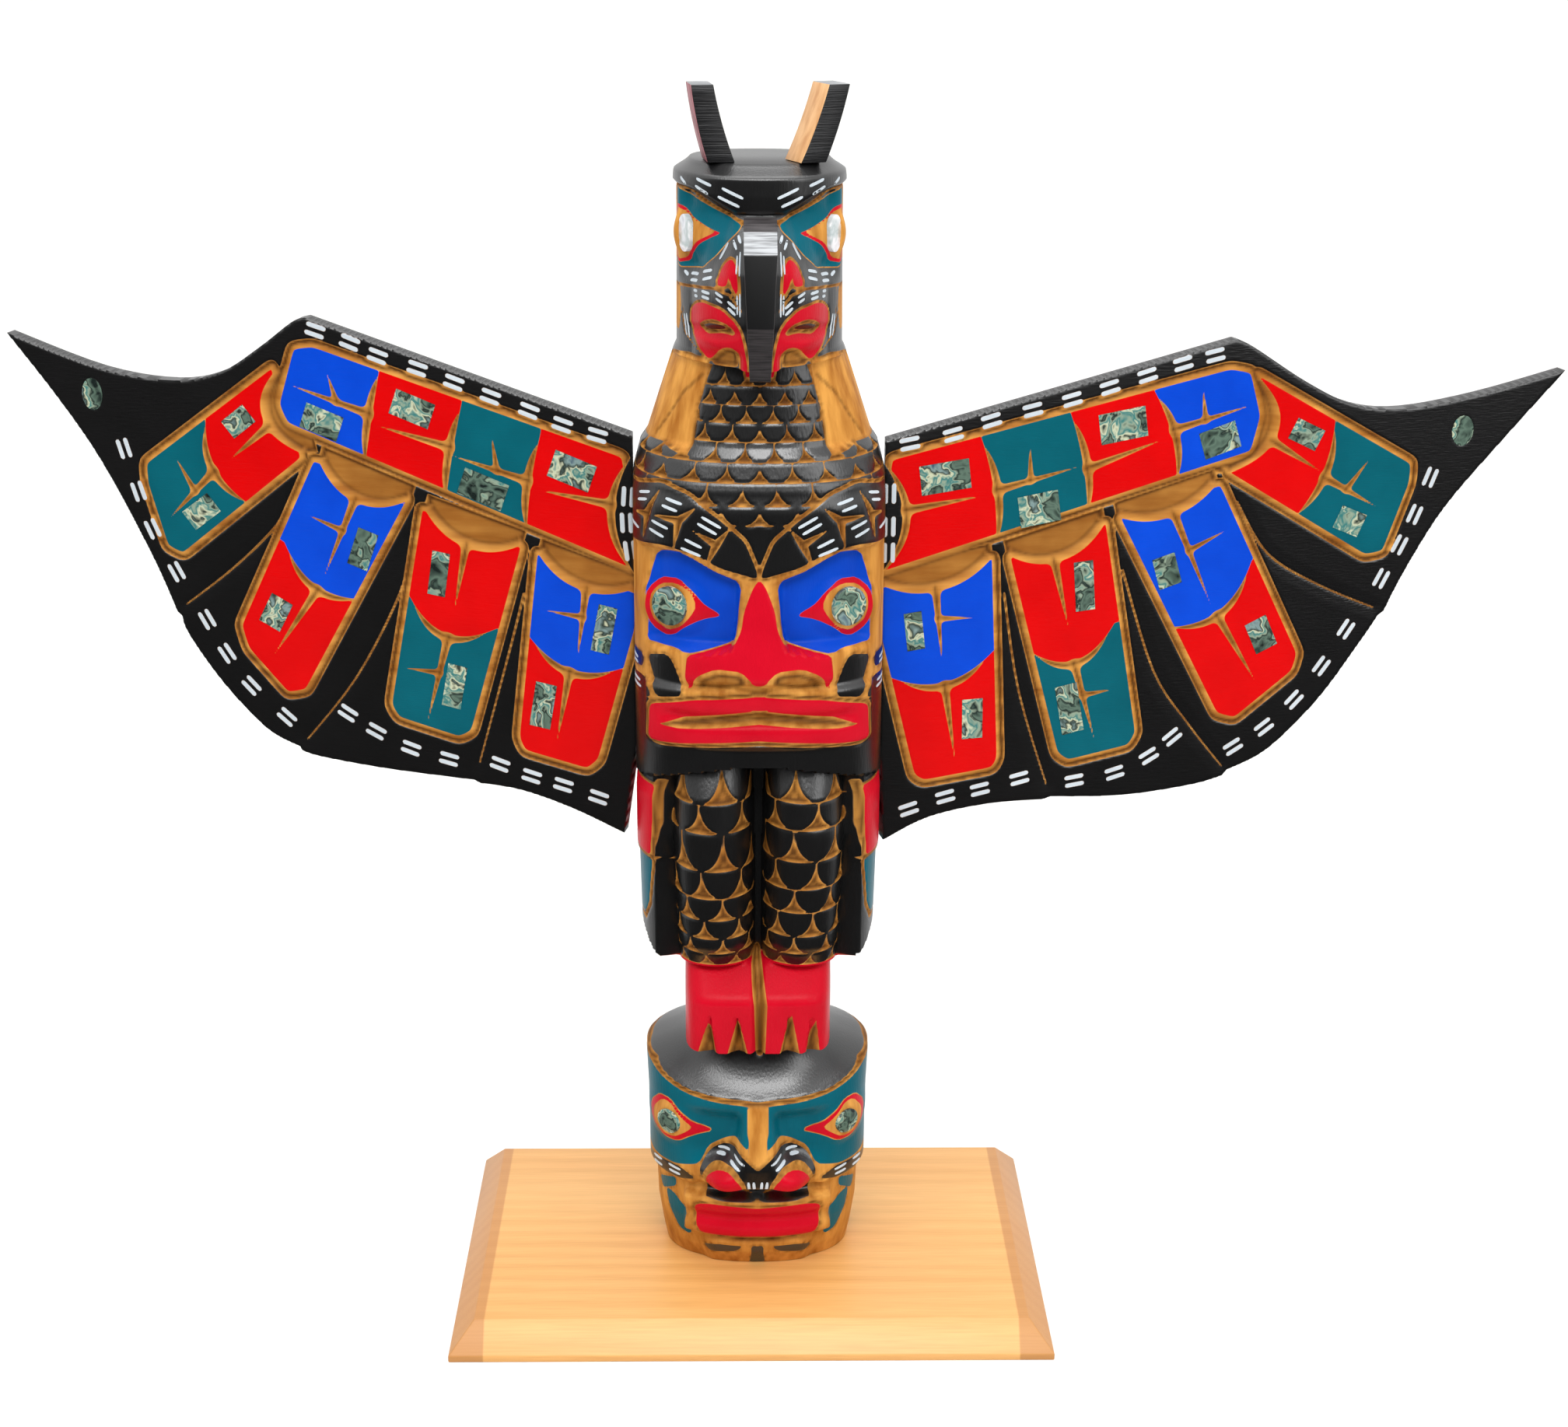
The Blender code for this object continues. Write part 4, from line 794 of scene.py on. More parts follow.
def on_surface(point, lift):
    """A place on the carved surface, raised by lift, in metres."""
    turn, row = point[0] / ROUND, np.interp(point[1], levels, np.arange(rows))
    column_at = (turn - front[0]) / (front[1] - front[0])
    i, j = int(row), int(column_at)
    a, b = row - i, column_at - j
    low = carved[i, j] + b * (carved[i, j + 1] - carved[i, j])
    high = carved[i + 1, j] + b * (carved[i + 1, j + 1] - carved[i + 1, j])
    out_to = low + a * (high - low) + lift
    return out_to * math.sin(turn) * MM, -out_to * math.cos(turn) * MM, (point[1] + LIFT) * MM


DAB_HALF, FINE_HALF = 0.8, 0.45   # half widths of the dashes, and how far they stand up and are let in
DAB_UP, DAB_IN = 0.14, 0.4


def dab_of_paint(bm, ends, half):
    """A dash laid on thickly: a thin strip with rounded ends that follows the surface."""
    length = math.dist(*ends)
    along = (ends[1] - ends[0]) / length
    sideways = np.array((-along[1], along[0])) * half
    pieces = max(3, round(length / 1.6))
    strip = bmesh.ops.create_grid(bm, x_segments=pieces, y_segments=1, size=1.0)["verts"]
    faces = list({face for vert in strip for face in vert.link_faces})
    upper = verts_of(bmesh.ops.extrude_face_region(bm, geom=faces)["geom"])
    for verts, lift in ((strip, -DAB_IN), (upper, DAB_UP)):
        for vert in verts:
            t, s = vert.co.x, vert.co.y
            narrow = 0.55 if abs(t) > 0.99 else 1.0
            vert.co = on_surface(ends[0] + along * length * (t + 1) / 2 + sideways * s * narrow, lift)
            paint_only(bm, vert, "dash", paint.REACH)


pole_mesh, where, row_of, column_of = mesh_grid("carved_pole", columns, rows - 1)
spots = (row_of, column_of % columns)
out_to = carved[spots]
turn_of = theta[spots]
where[:, 0] = out_to * np.sin(turn_of) * MM
where[:, 1] = -out_to * np.cos(turn_of) * MM
where[:, 2] = (level[spots] + LIFT) * MM
pole_mesh.vertices.foreach_set("co", where.ravel())
put_attributes(pole_mesh, paint, crease, cut_depth, spots)
bm = bmesh.new()
bm.from_mesh(pole_mesh)
bmesh.ops.remove_doubles(bm, verts=bm.verts[:], dist=1e-6)
bmesh.ops.holes_fill(bm, edges=[e for e in bm.edges if e.is_boundary], sides=0)
for dashes, half in ((DASHES, DAB_HALF), (FINE_DASHES, FINE_HALF)):
    for ends in dashes:
        for side in (-1, 1):
            dab_of_paint(bm, [np.array((side * u, v)) for u, v in ends], half)
bmesh.ops.recalc_face_normals(bm, faces=bm.faces[:])
bm.to_mesh(pole_mesh)
bm.free()
pole_mesh.shade_smooth()
pole_mesh.set_sharp_from_angle(angle=1.0)
carved_pole = bpy.data.objects.new("carved_pole", pole_mesh)
bpy.context.scene.collection.objects.link(carved_pole)


def painted_cedar(name, grain, shades):
    """Carved cedar with satin acrylic paint where a finish's distance is positive, and the bare cuts
    darkened: partly stain, partly painted shade, more where a cut is deeper and most along its bottom.

    grain is the stretch of the wood's figure along X, Y and Z; shades gives each paint two hex colours.
    """
    made, tree, shader = new_material(name)
    place = object_place(tree)
    stretched = add_node(tree, "ShaderNodeMapping", {"Vector": place, "Scale": grain}).outputs[0]
    cloud = noise(tree, place, 38.0, 3.0)
    wood = add_node(tree, "ShaderNodeValToRGB", {"Fac": noise(tree, stretched, 22.0, 4.0)})
    wood.color_ramp.elements[0].position = 0.30
    wood.color_ramp.elements[0].color = linear("#9c5f20")
    wood.color_ramp.elements[1].position = 0.68
    wood.color_ramp.elements[1].color = linear("#d29546")
    crease_at = add_node(tree, "ShaderNodeAttribute", attribute_name="crease")
    cut_at = add_node(tree, "ShaderNodeAttribute", attribute_name="cut")
    # painted shade, partly stain: bare wood darkened patchily in proportion to the depth of its cut
    patchiness = add_node(tree, "ShaderNodeMath", {0: cloud, 1: 0.45, 2: 0.15}, operation="MULTIPLY_ADD")
    deep = add_node(tree, "ShaderNodeMath", {0: cut_at.outputs["Fac"], 1: patchiness.outputs[0]},
                    operation="MULTIPLY")
    deep = add_node(tree, "ShaderNodeMath", {0: deep.outputs[0], 1: 0.6}, operation="MULTIPLY",
                    use_clamp=True)
    colour = mixed(tree, deep.outputs[0], wood.outputs["Color"], linear("#7c4a18"))
    # painted shade, partly stain: darker again along the bottoms of the cuts
    stain_and_shade = add_node(tree, "ShaderNodeMath", {0: crease_at.outputs["Fac"], 1: 0.85}, operation="MULTIPLY",
                     use_clamp=True)
    colour = mixed(tree, stain_and_shade.outputs[0], colour, linear("#4a2a0e"))
    for finish, (dark, light) in shades.items():
        far = add_node(tree, "ShaderNodeAttribute", attribute_name=finish)
        inside = remapped(tree, far.outputs["Fac"], -0.10, 0.14)
        colour = mixed(tree, inside, colour, mixed(tree, cloud, linear(dark), linear(light)))
        if finish == "black":
            covered = inside
            sheen = remapped(tree, covered, 0.0, 1.0, 0.08, 1.0)
            tree.links.new(sheen, shader.inputs["Specular IOR Level"])
            continue
        covered = add_node(tree, "ShaderNodeMath", {0: covered, 1: inside}, operation="MAXIMUM").outputs[0]
    tree.links.new(colour, shader.inputs["Base Color"])
    tree.links.new(remapped(tree, covered, 0.0, 1.0, 0.52, 0.30), shader.inputs["Roughness"])
    bumped(tree, shader, noise(tree, stretched, 160.0, 2.0), 0.22, 0.0006)
    return made


POLE_PAINTS = {"black": ("#0a0a0a", "#121213"), "red": ("#ac0519", "#ca0e26"), "teal": ("#034e5a", "#066072"),
               "blue": ("#0436a4", "#0a48c4"), "dash": ("#aab3ba", "#ccd4da")}
carved_pole.data.materials.append(painted_cedar("painted_cedar_log", (6.0, 6.0, 0.7), POLE_PAINTS))
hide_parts("pole")
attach(carved_pole, "root")


# Beak: a ridge of harder wood let into the muzzle, its front cut to flat facets.
# It is painted black like the head; the two upper facets and the tip carry painted sheen, bands of grey set
# by height and broken by scratch streaks.
BEAK_WIDTH, BEAK_TIP_WIDTH = 17.5, 10.8
BEAK_PROFILE = ((-50, 645), (-66, 639.2), (-80, 629.5), (-84, 592), (-80, 564), (-72, 562), (-50, 572))

bm = bmesh.new()
side_line = [bm.verts.new((-BEAK_WIDTH / 2, y, z + LIFT)) for y, z in BEAK_PROFILE]
side_face = bm.faces.new(side_line)
swept = bmesh.ops.extrude_face_region(bm, geom=[side_face])["geom"]
bmesh.ops.translate(bm, vec=(BEAK_WIDTH, 0, 0), verts=verts_of(swept))
for v in bm.verts:
    v.co.x *= np.interp(v.co.z, (562, 625), (BEAK_TIP_WIDTH / BEAK_WIDTH, 1.0))
bmesh.ops.recalc_face_normals(bm, faces=bm.faces[:])
round_off(bm, bm.edges[:], 0.45)
beak = finish_mesh(bm, "beak_ridge")
beak_paint, tree, shader = new_material("black_paint_painted_sheen")
place = object_place(tree)
high = add_node(tree, "ShaderNodeSeparateXYZ", {"Vector": place}).outputs["Z"]
# painted sheen: grey on the two upper facets and the tip, black between, chosen by height
facet_sheen = add_node(tree, "ShaderNodeValToRGB", {"Fac": remapped(tree, high, 0.56, 0.66)})
facet_sheen.color_ramp.interpolation = "CONSTANT"
facet_sheen.color_ramp.elements[0].color = linear("#383435")
facet_sheen.color_ramp.elements[1].position = 0.323
facet_sheen.color_ramp.elements[1].color = linear("#0a0a0b")
facet_sheen.color_ramp.elements.new(0.698).color = linear("#a9acaf")
facet_sheen.color_ramp.elements.new(0.795).color = linear("#4c4849")
scratch_place = add_node(tree, "ShaderNodeMapping", {"Vector": place, "Rotation": (0, math.radians(38), 0),
                                                     "Scale": (60, 60, 1600)})
# scratch streaks through the painted sheen
worn = remapped(tree, noise(tree, scratch_place.outputs[0], 1.0, 2.0), 0.35, 0.60, 0.35, 1.0)
black_with_sheen = mixed(tree, worn, linear("#0a0a0b"), facet_sheen.outputs["Color"])
tree.links.new(black_with_sheen, shader.inputs["Base Color"])
shader.inputs["Roughness"].default_value = 0.36
beak.data.materials.append(beak_paint)
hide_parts("beak")
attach(beak, "root")


# Horns: two blades sawn from thin board and set on the flat top of the head, leaning out.
# Their fronts are black, with saw marks; the outer side of one is pink, the inner side of the other bare.
# Their upward faces carry painted sheen in grey.
HORN_WIDTH, HORN_DEPTH, HORN_HEIGHT = 14.5, 22.0, 40.0
HORNS = {"left": (-22.0, -1, 8.0, 14.0), "right": (24.0, 1, 22.0, 20.0)}
HORN_SEAT = -24.0

horn_black, tree, shader = new_material("sawn_black_paint")
marks = noise(tree, object_place(tree), 1.0, 2.0, (40, 40, 1500))
tree.links.new(mixed(tree, marks, linear("#0a0a0b"), linear("#1c1c1e")), shader.inputs["Base Color"])
shader.inputs["Roughness"].default_value = 0.42
bumped(tree, shader, marks, 0.5, 0.0006)


def flat_wood(name, dark, light, stretch):
    """A worn flat finish that varies between two colours along the grain."""
    made, tree, shader = new_material(name)
    grain = remapped(tree, noise(tree, object_place(tree), 30.0, 4.0, stretch), 0.35, 0.65)
    tree.links.new(mixed(tree, grain, linear(dark), linear(light)), shader.inputs["Base Color"])
    shader.inputs["Roughness"].default_value = 0.5
    return made


horn_side = {"left": flat_wood("worn_pink_paint", "#7c3038", "#b8727a", (6, 6, 1)),
             "right": flat_wood("bare_horn_wood", "#c98f58", "#e3b27c", (6, 6, 1))}
# painted sheen: the faces of the horns that look up are grey instead of black
horn_top_sheen = flat_wood("grey_painted_sheen", "#5c5e60", "#8c8e90", (1, 1, 1))
for word, (x, side, turn, lean) in HORNS.items():
    bm = bmesh.new()
    bmesh.ops.create_grid(bm, x_segments=1, y_segments=8, size=0.5)
    for v in bm.verts:
        t = v.co.y + 0.5
        drift = side * (math.tan(math.radians(lean)) * t + 0.10 * t * (1 - t)) * HORN_HEIGHT
        v.co = (drift + v.co.x * HORN_WIDTH * (1 - 0.18 * t), -HORN_DEPTH / 2, t * HORN_HEIGHT)
    swept = bmesh.ops.extrude_face_region(bm, geom=bm.faces[:])["geom"]
    bmesh.ops.translate(bm, vec=(0, HORN_DEPTH, 0), verts=verts_of(swept))
    bmesh.ops.recalc_face_normals(bm, faces=bm.faces[:])
    for face in bm.faces:
        if face.normal.z > 0.7:
            face.material_index = 2
        elif abs(face.normal.y) < 0.5 and face.normal.x < -0.5:
            face.material_index = 1
    round_off(bm, [e for e in bm.edges if e.calc_face_angle(0.0) > 1.0], 0.4)
    bmesh.ops.rotate(bm, matrix=Matrix.Rotation(math.radians(turn), 3, "Z"), verts=bm.verts[:])
    bmesh.ops.translate(bm, vec=(x, HORN_SEAT, POLE_HIGH + 2 * LIFT), verts=bm.verts[:])
    horn = finish_mesh(bm, f"horn_blade_{word}")
    for look in (horn_black, horn_side[word], horn_top_sheen):
        horn.data.materials.append(look)
    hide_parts(f"horn_{word}")
    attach(horn, "root")


# Shell: discs and plates cut from abalone, ground flat and glued into shallow pockets, proud by a hair.
# The bird's eyes are pale pearl shell. The plates keep their CAD shapes.
def shell_material(name, stops, figure, swirl, sheen):
    """Layered shell: warped bands of colour with thin dark lines, under a polished surface."""
    made, tree, shader = new_material(name)
    place = object_place(tree)
    warp = add_node(tree, "ShaderNodeTexNoise", {"Vector": place, "Scale": 0.7 * figure, "Detail": 2.0})
    offset = add_node(tree, "ShaderNodeVectorMath", {0: warp.outputs["Color"], 1: (swirl, swirl, swirl)},
                      operation="MULTIPLY")
    moved = add_node(tree, "ShaderNodeVectorMath", {0: place, 1: offset.outputs[0]}, operation="ADD")
    bands = add_node(tree, "ShaderNodeTexNoise", {"Vector": moved.outputs[0], "Scale": figure, "Detail": 3.0,
                                                  "Roughness": 0.5})
    colours = add_node(tree, "ShaderNodeValToRGB", {"Fac": bands.outputs["Fac"]})
    elements = colours.color_ramp.elements
    elements[0].position, elements[0].color = stops[0][0], linear(stops[0][1])
    elements[1].position, elements[1].color = stops[-1][0], linear(stops[-1][1])
    for position, code in stops[1:-1]:
        elements.new(position).color = linear(code)
    tree.links.new(colours.outputs["Color"], shader.inputs["Base Color"])
    shader.inputs["Roughness"].default_value = 0.16
    shader.inputs["Coat Weight"].default_value = sheen
    shader.inputs["Coat Roughness"].default_value = 0.08
    return made


abalone = shell_material("abalone", ((0.30, "#18211f"), (0.40, "#5a6f62"), (0.445, "#1c2725"),
                                     (0.48, "#8b9c88"),
                                     (0.52, "#2f7170"), (0.555, "#c2c6a8"), (0.59, "#2a352f"),
                                     (0.66, "#7b9290"),
                                     (0.74, "#3d4f63")), 68.0, 0.02, 0.5)
pearl = shell_material("pale_pearl", ((0.30, "#8d93a0"), (0.42, "#d4d6da"), (0.50, "#a9b4b4"),
                                      (0.58, "#e6e4e6"),
                                      (0.70, "#b8a8b4")), 55.0, 0.006, 0.6)

EYE_THICKNESS = 3.0
for name, (degrees_out, z, rx, rz, looks) in EYES.items():
    for side, word in ((-1, "left"), (1, "right")):
        angle, turned = side * math.radians(degrees_out), side * math.radians(looks)
        out_to = pole_radius(np.array([angle]), np.array([z]))[0]
        middle = (out_to * math.sin(angle), -out_to * math.cos(angle), z + LIFT)
        normal = Vector((math.sin(turned), -math.cos(turned), 0))
        level_x = Vector((0, 0, 1)).cross(normal).normalized()
        bm = bmesh.new()
        bmesh.ops.create_cone(bm, cap_ends=True, segments=48, radius1=1.0, radius2=1.0,
                              depth=EYE_THICKNESS - LIFT)
        bmesh.ops.scale(bm, vec=(rx, rz, 1), verts=bm.verts[:])
        bmesh.ops.translate(bm, vec=(0, 0, -(EYE_THICKNESS - LIFT) / 2), verts=bm.verts[:])
        round_off(bm, [e for e in bm.edges if all(v.co.z > -0.01 for v in e.verts)], 0.35)
        turn = Matrix((level_x, normal.cross(level_x), normal)).transposed().to_4x4()
        bm.transform(Matrix.Translation(middle) @ turn)
        eye = finish_mesh(bm, f"{name}_disc_{word}")
        eye.data.materials.append(pearl if name == "bird_eye" else abalone)
        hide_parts(f"{name}_{word}")
        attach(eye, "root")


# Wings: two boards of cedar with their outlines sawn and their fronts carved and painted, glued to
# flats on the sides of the log and swept back a little. Points on them are (reach, height) in mm.
# Paint fills the fields between the cuts; the edges and the back are plain black.
PLANK = 10.0
SWEEP = math.radians(12)
WING_FRONT = -9.3
OUTLINE = {
    "left": [[(368.8, 562.3), (313, 544), (269, 539), (240, 545), (216, 560), (196, 575), (188, 578)],
             [(188, 578), (0, 519.5)], [(0, 519.5), (0, 340), (8, 284)],
             [(8, 284), (39, 297), (70, 306), (98, 308.5)],
             [(98, 310), (150, 313), (191, 317.5), (205, 321)],
             [(205, 323), (225, 333), (250, 359), (270, 388), (274, 401)],
             [(276.5, 402), (290, 436), (316, 488.5), (340, 525), (368.8, 562.3)]],
    "right": [[(411.5, 541.2), (359, 529), (312, 522.5), (280, 526), (250, 540), (215, 562), (205, 566.5)],
              [(205, 566.5), (0, 517)], [(0, 517), (0, 340), (3, 280)],
              [(3, 280), (30, 292), (66, 297.5), (105, 297.5)],
              [(105, 299), (150, 296.5), (194, 300), (215, 305)],
              [(215, 307.5), (240, 319), (270, 348), (295, 383), (306, 400)],
              [(308.5, 401), (320, 425.5), (342, 462.5), (375, 501), (411.5, 541.2)]],
}
FRAMES = {
    "left": {
        "band": [(-4, 439.5), (203, 516), (208, 528), (197, 562), (184, 564), (4, 509)],
        "feather_1": [(192, 497), (208, 552), (291, 491), (291, 478), (281, 440), (270, 435)],
        "feather_2": [(129, 478), (188, 499), (239, 396), (235, 381), (211, 354), (198, 357)],
        "feather_3": [(63, 454), (125, 474), (149, 353), (144, 344), (106, 334), (97, 339)],
        "feather_4": [(-8, 429), (58, 452), (72, 338), (68, 329), (29, 320), (21, 327)]},
    "right": {
        "band": [(-6, 438.5), (219, 500), (224, 522), (216, 549), (202, 552), (2, 508)],
        "feather_1": [(202, 489), (217, 549), (320, 491), (320, 478), (306, 436), (293, 434)],
        "feather_2": [(137, 467), (201, 485), (257, 378), (254, 366), (218, 338), (205, 342)],
        "feather_3": [(72, 448), (133, 466), (158, 335), (153, 326), (114, 319), (106, 325)],
        "feather_4": [(-10, 433), (66, 449), (73, 325), (69, 318), (26, 313), (19, 318)]},
}
LINES = {
    "left": [[(200.5, 478), (212, 457), (240, 430), (275, 403)],
             [(131, 452), (139, 421), (168, 368), (205, 322)],
             [(65, 425), (74, 392), (98, 309)]],
    "right": [[(211, 472), (232, 440), (266, 419), (307, 401)],
              [(143, 435), (165, 373), (189, 338), (215, 306)],
              [(72, 425), (83, 365), (105, 298)]],
}
# each cut across a field: one end, mouth, other end, tip of the split, and the tip of its side cut
SPLITS = {
    "left": {"band": [((156, 497), (153, 525), (146, 547), (197, 539), (176, 546)),
                      ((109, 478), (106, 508), (99, 529), (146, 518), None),
                      ((62, 463), (61, 491), (54, 513), (103, 503), (81, 515)),
                      ((0, 441), (13, 480), (2, 506), (53, 486), None)],
             "feather_1": [((229, 470), (248, 487), (251, 514), (277, 458), (270, 493)),
                           ((193, 500), (213, 515), (203, 551), (237, 495), None)],
             "feather_2": [((205, 442), (189, 420), (164, 416), (217, 380), None),
                           ((184, 497), (163, 476), (130, 477), (184, 429), (191, 464))],
             "feather_3": [((131, 416), (111, 396), (87, 401), (125, 345), (136, 376)),
                           ((122, 472), (98, 453), (65, 454), (106, 415), None)],
             "feather_4": [((59, 396), (39, 380), (12, 383), (47, 339), None),
                           ((56, 450), (28, 431), (0, 432), (34, 389), (51, 416))]},
    "right": {"band": [((173, 487), (170, 516), (159, 535), (214, 528), (186, 538)),
                       ((120, 470), (119, 496), (109, 524), (161, 510), None),
                       ((66, 455), (66, 486), (57, 512), (112, 497), (84, 511)),
                       ((-2, 440), (13, 477), (-1, 505), (56, 483), None)],
              "feather_1": [((249, 463), (264, 484), (268, 512), (298, 465), (291, 493)),
                            ((204, 489), (230, 507), (215, 548), (261, 488), None)],
              "feather_2": [((220, 430), (203, 404), (174, 399), (229, 363), None),
                            ((198, 484), (172, 468), (138, 467), (198, 412), (204, 455))],
              "feather_3": [((136, 398), (116, 380), (91, 388), (130, 334), (139, 363)),
                            ((131, 464), (101, 444), (73, 448), (111, 404), None)],
              "feather_4": [((62, 387), (38, 372), (11, 377), (45, 328), None),
                            ((64, 447), (31, 431), (-2, 435), (36, 387), (53, 412))]},
}
# the paints of each field, from its outer end towards the root
FIELD_PAINTS = {"band": ("blue", "red", "teal", "red", "black"), "feather_1": ("teal", "red"),
                "feather_2": ("red", "blue"), "feather_3": ("teal", "red"), "feather_4": ("red", "blue")}
# rows of paired dashes, by the middle of each pair
DASH_ROWS = {
    "left": [[(182, 571), (162, 565), (146, 558), (123, 552), (102, 545), (81, 538), (59, 531), (40, 524),
              (20, 519)],
             [(3, 485), (4, 470), (2, 454)], [(302, 498), (295, 473), (288, 451), (275, 426)],
             [(258, 398), (247, 378), (233, 359), (212, 341)],
             [(174, 346), (157, 336), (136, 327), (113, 322)],
             [(82, 321), (63, 315), (44, 311), (23, 305)]],
    "right": [[(192, 558), (173, 554), (152, 548), (130, 542), (108, 536), (85, 531), (61, 526), (39, 519),
               (14, 515)], [(3, 487), (3, 468), (3, 453)], [(331, 481), (323, 459), (315, 441), (305, 421)],
              [(285, 391), (271, 369), (255, 349), (237, 333), (218, 322)],
              [(179, 331), (165, 320), (144, 311), (119, 308)], [(85, 312), (61, 307), (40, 304), (18, 298)]],
}
SHELLS = {
    "left": [(35, 498, 16, 25, -70), (87, 485, 16, 27, -70), (127, 529, 15, 24, -70), (181, 519, 15, 23, -70),
             (231, 517, 12, 17, 52), (257, 463, 13, 20, 53), (160, 446, 12.5, 23, 20), (215, 405, 14, 19, 28),
             (115, 434, 10.5, 26, 9), (108, 367, 11.5, 26, 11), (18, 407, 11, 28, 11),
             (55, 359, 12.5, 27, 10)],
    "right": [(35, 495, 17, 29, -83), (91, 474, 18, 24, -81), (139, 520, 17.5, 28, -81),
              (198, 509, 16, 22.5, -72),
              (251, 510, 13, 19, 64), (282, 457, 14, 17, 67), (170, 433, 14, 19, 17), (231, 391, 14, 20, 25),
              (120, 427, 11.6, 29.5, 5), (114, 353, 13.4, 30, 11), (19, 406, 10.5, 22.5, 7),
              (55, 351, 12.3, 24, 1)],
}
TIP_OVALS = {"left": (319, 529, 6.2, 9.4), "right": (349, 508, 6.8, 9.1)}
PAINT_IN, BLACK_OUT = 2.3, 2.7   # from a groove's middle line to the paint inside and the black outside
MOUTH = 4.6                      # width of a cross cut at its mouth
WING_STEP = 1.05


def flowing(points, steps):
    """A curve through the points, as a finer list of points."""
    points = [points[0]] + list(points) + [points[-1]]
    out = []
    for i in range(1, len(points) - 2):
        a, b, c, d = (Vector(points[i + k]) for k in (-1, 0, 1, 2))
        for s in range(steps):
            t = s / steps
            out.append(0.5 * (2 * b + (c - a) * t + (2 * a - 5 * b + 4 * c - d) * t * t
                              + (3 * b - a - 3 * c + d) * t ** 3))
    return [tuple(p) for p in out]


def joined(one, other, blend):
    """The union of two distances, with a fillet where they meet."""
    near = np.clip(blend - np.abs(one - other), 0, None) / blend
    return np.maximum(one, other) + near * near * blend / 4


def cross_cut(carving, one, mouth, other, tip, side_tip, behind, start):
    """A crescent across a field with a tapering split, and what lies behind it.

    behind is the next field's paint, or None for a scoop that runs out to the frame.
    """
    one, mouth, other, tip = (np.array(p, float) for p in (one, mouth, other, tip))
    middle, half = (one + other) / 2, math.dist(one, other) / 2
    along = (other - one) / (2 * half)
    up = np.array((-along[1], along[0]))
    up = up if (tip - middle) @ up > 0 else -up
    t = ((carving.u - middle[0]) * along[0] + (carving.v - middle[1]) * along[1]) / half
    h = (carving.u - middle[0]) * up[0] + (carving.v - middle[1]) * up[1]
    rise = (mouth - middle) @ up
    low = (rise - MOUTH / 2) * (1 - np.clip(t, -1.2, 1.2) ** 2)
    high = low + MOUTH * (1 - np.clip(np.abs(t), 0, 1) ** 2.6)
    if behind is None:
        high = (rise + MOUTH / 2) * (1 - np.clip(np.abs(t), 0, 1) ** 2.2)
        low = np.full(t.shape, -9.0)
    crescent = np.minimum(np.minimum(h - low, high - h) * 0.94, (1.02 - np.abs(t)) * half)
    stem = carving.stroke([mouth, mouth + 0.35 * (tip - mouth), tip], 2.6, 0.15)
    wood = joined(crescent, stem, 3.4)
    if side_tip is not None:
        foot = mouth + 0.42 * (tip - mouth)
        wood = joined(wood, carving.stroke([foot, side_tip], 1.9, 0.15), 2.4)
    if behind is not None:
        carving.lay(behind, np.minimum(start, low - h))
    carving.lay("wood", wood)


WING_PAINTS = {"black": ("#090909", "#100f10"), "red": ("#bc0002", "#d20204"), "teal": ("#034c58", "#065e6c"),
               "blue": ("#0238b0", "#0648cc"), "dash": ("#aab3ba", "#ccd4da")}
wing_finish = painted_cedar("painted_cedar_board", (0.9, 0.9, 7.0), WING_PAINTS)

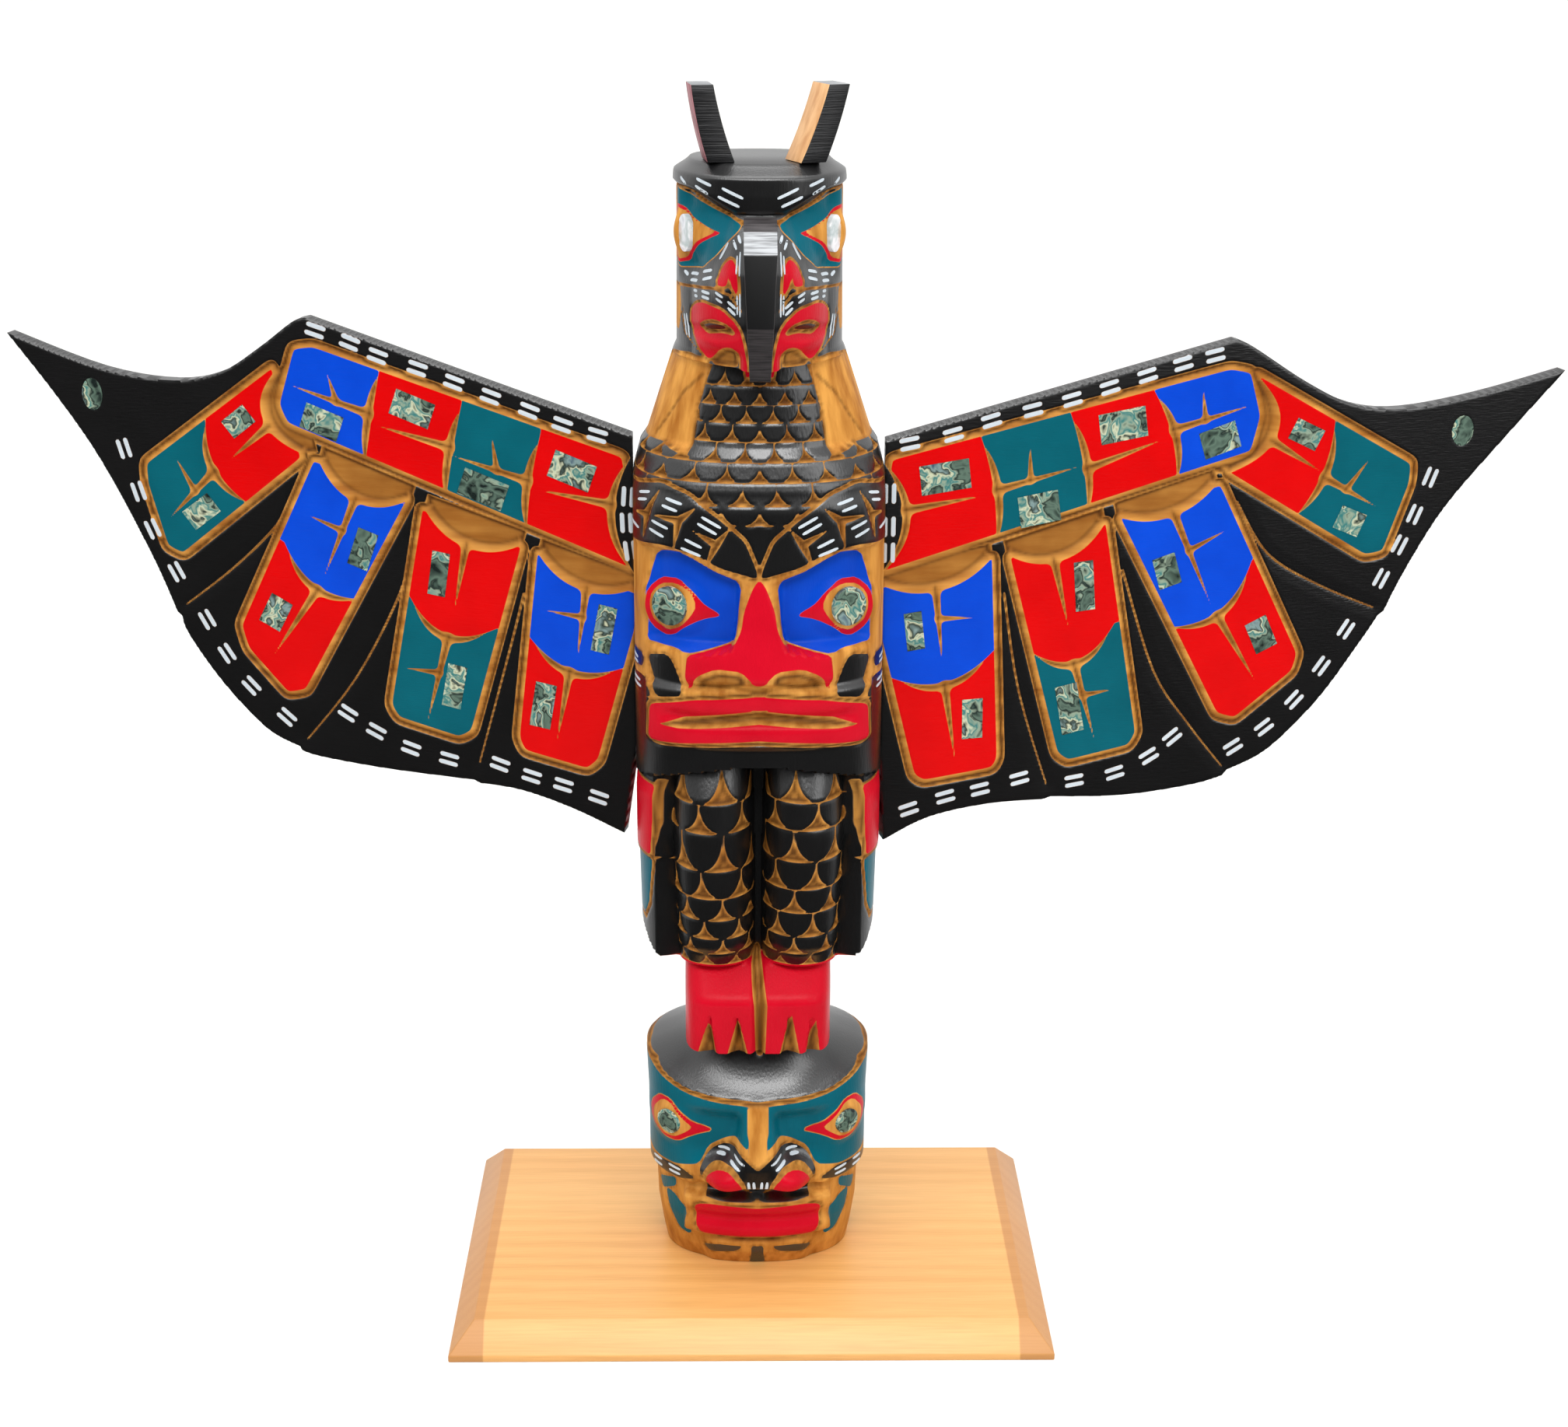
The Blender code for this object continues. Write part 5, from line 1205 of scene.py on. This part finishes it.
for word, side in (("left", -1), ("right", 1)):
    outline = []
    for run in OUTLINE[word]:
        outline += flowing(run, 5) if len(run) > 3 else run[:-1]
    lows, highs = np.min(outline, axis=0) - 1.5, np.max(outline, axis=0) + 1.5
    wide, tall = np.ceil((highs - lows) / WING_STEP).astype(int)
    us, vs = lows[0] + WING_STEP * np.arange(wide + 1), lows[1] + WING_STEP * np.arange(tall + 1)
    carving = Carving(*np.meshgrid(us, vs))
    edge = carving.area(outline)

    for name in ("feather_1", "feather_2", "feather_3", "feather_4", "band"):
        frame_in = carving.area(softened(FRAMES[word][name], 3))
        field = frame_in - PAINT_IN
        carving.lay("wood", frame_in + BLACK_OUT)
        paints = FIELD_PAINTS[name]
        carving.lay(paints[0], field)
        for values, behind in zip(SPLITS[word][name], paints[1:] + (None,)):
            reach_in = frame_in + BLACK_OUT + 3 if behind == "black" else field
            cross_cut(carving, *values, behind, reach_in)
    line_step = np.zeros(carving.u.shape)
    for line in LINES[word]:
        curve = flowing(line, 5)
        near_line = carving.stroke(curve, 0.75, 0.55)
        carving.lay("wood", np.minimum(near_line, carving.far["black"]))
        far_out = carving.stroke(curve, 0.0)
        line_step = np.maximum(line_step, np.clip(1 + far_out / 7.0, 0, 1) * (carving.far["black"] > -0.9))
    for row in DASH_ROWS[word]:
        row = np.array(row, float)
        tangents = np.gradient(row, axis=0)
        tangents /= np.hypot(*tangents.T)[:, None]
        for (u, v), (tu, tv) in zip(row, tangents):
            for offset in (-2.4, 2.4):
                cu, cv = u - offset * tv, v + offset * tu
                carving.cut([(cu - 4.6 * tu, cv - 4.6 * tv), (cu + 4.6 * tu, cv + 4.6 * tv)], 1.3,
                            mirror=False,
                            finish="dash")

    depth = carving.depth(0.62, 1.5, 3.0)
    crease = creases(depth)
    sunk = np.zeros(depth.shape)
    for u, v, width, length, turn in SHELLS[word]:
        c, s = math.cos(math.radians(turn)), math.sin(math.radians(turn))
        du, dv = carving.u - u, carving.v - v
        inside = np.minimum(width / 2 - np.abs(du * c + dv * s), length / 2 - np.abs(dv * c - du * s))
        sunk = np.maximum(sunk, np.clip(inside - 0.5, 0, 0.8))
    u, v, rx, rz = TIP_OVALS[word]
    oval = 1 - np.hypot((carving.u - u) / (rx - 0.5), (carving.v - v) / (rz - 0.5))
    sunk = np.maximum(sunk, np.clip(oval * 8, 0, 0.8))
    rounded_edge = 0.6 * np.clip(1 - edge / 1.2, 0, 1) ** 2
    face_depth = depth + 0.5 * line_step + sunk + rounded_edge

    mesh, where, row_of, column_of = mesh_grid(f"carved_wing_{word}", wide, tall)
    spots = (row_of, column_of)
    where[:, 0], where[:, 1] = us[column_of], vs[row_of]
    where[:, 2] = -face_depth[spots]
    mesh.vertices.foreach_set("co", where.ravel())
    put_attributes(mesh, carving, crease, depth, spots)
    inside_edge = edge[spots]
    bm = bmesh.new()
    bm.from_mesh(mesh)
    bm.verts.ensure_lookup_table()
    outer = [f for f in bm.faces if sum(inside_edge[v.index] for v in f.verts) < 0.0]
    bmesh.ops.delete(bm, geom=outer, context="FACES")
    run = np.array(outline)
    step = np.roll(run, -1, axis=0) - run
    rim = [e for e in bm.edges if e.is_boundary]
    on_rim = list({v for e in rim for v in e.verts})
    for v in on_rim:
        away = np.array(v.co.xy) - run
        t = np.clip((away * step).sum(axis=1) / ((step * step).sum(axis=1) + 1e-9), 0, 1)
        nearest = run + t[:, None] * step
        pick = np.argmin(((np.array(v.co.xy) - nearest) ** 2).sum(axis=1))
        v.co.xy = nearest[pick]
    for sawn in OUTLINE[word]:
        min(on_rim, key=lambda v: (v.co.xy - Vector(sawn[0])).length).co.xy = sawn[0]
    swept = bmesh.ops.extrude_edge_only(bm, edges=rim)["geom"]
    for v in verts_of(swept):
        v.co.z = -PLANK
        paint_only(bm, v, "black", 5.0)
    bmesh.ops.holes_fill(bm, edges=[e for e in bm.edges if e.is_boundary], sides=0)
    for v in bm.verts:
        v.co.x = max(v.co.x, -v.co.z * math.tan(SWEEP))
    bmesh.ops.recalc_face_normals(bm, faces=bm.faces[:])
    out = Vector((side * math.cos(SWEEP), math.sin(SWEEP), 0))
    up = Vector((0, 0, 1))
    plane = Matrix((out, up, out.cross(up) * side)).transposed().to_4x4()
    plane.translation = (side * (SEAT + LIFT), WING_FRONT, LIFT)
    bm.transform(plane)
    if side < 0:
        bmesh.ops.recalc_face_normals(bm, faces=bm.faces[:])
    wing = finish_mesh(bm, f"carved_wing_{word}", 1.0)
    wing.data.materials.append(wing_finish)
    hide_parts(f"wing_{word}")
    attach(wing, "root")


# Shell plates of the wings: ground rectangles and ovals, which keep their CAD shapes.
for name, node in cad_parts.items():
    if name.startswith("shell_"):
        node.data.materials.clear()
        node.data.materials.append(abalone)
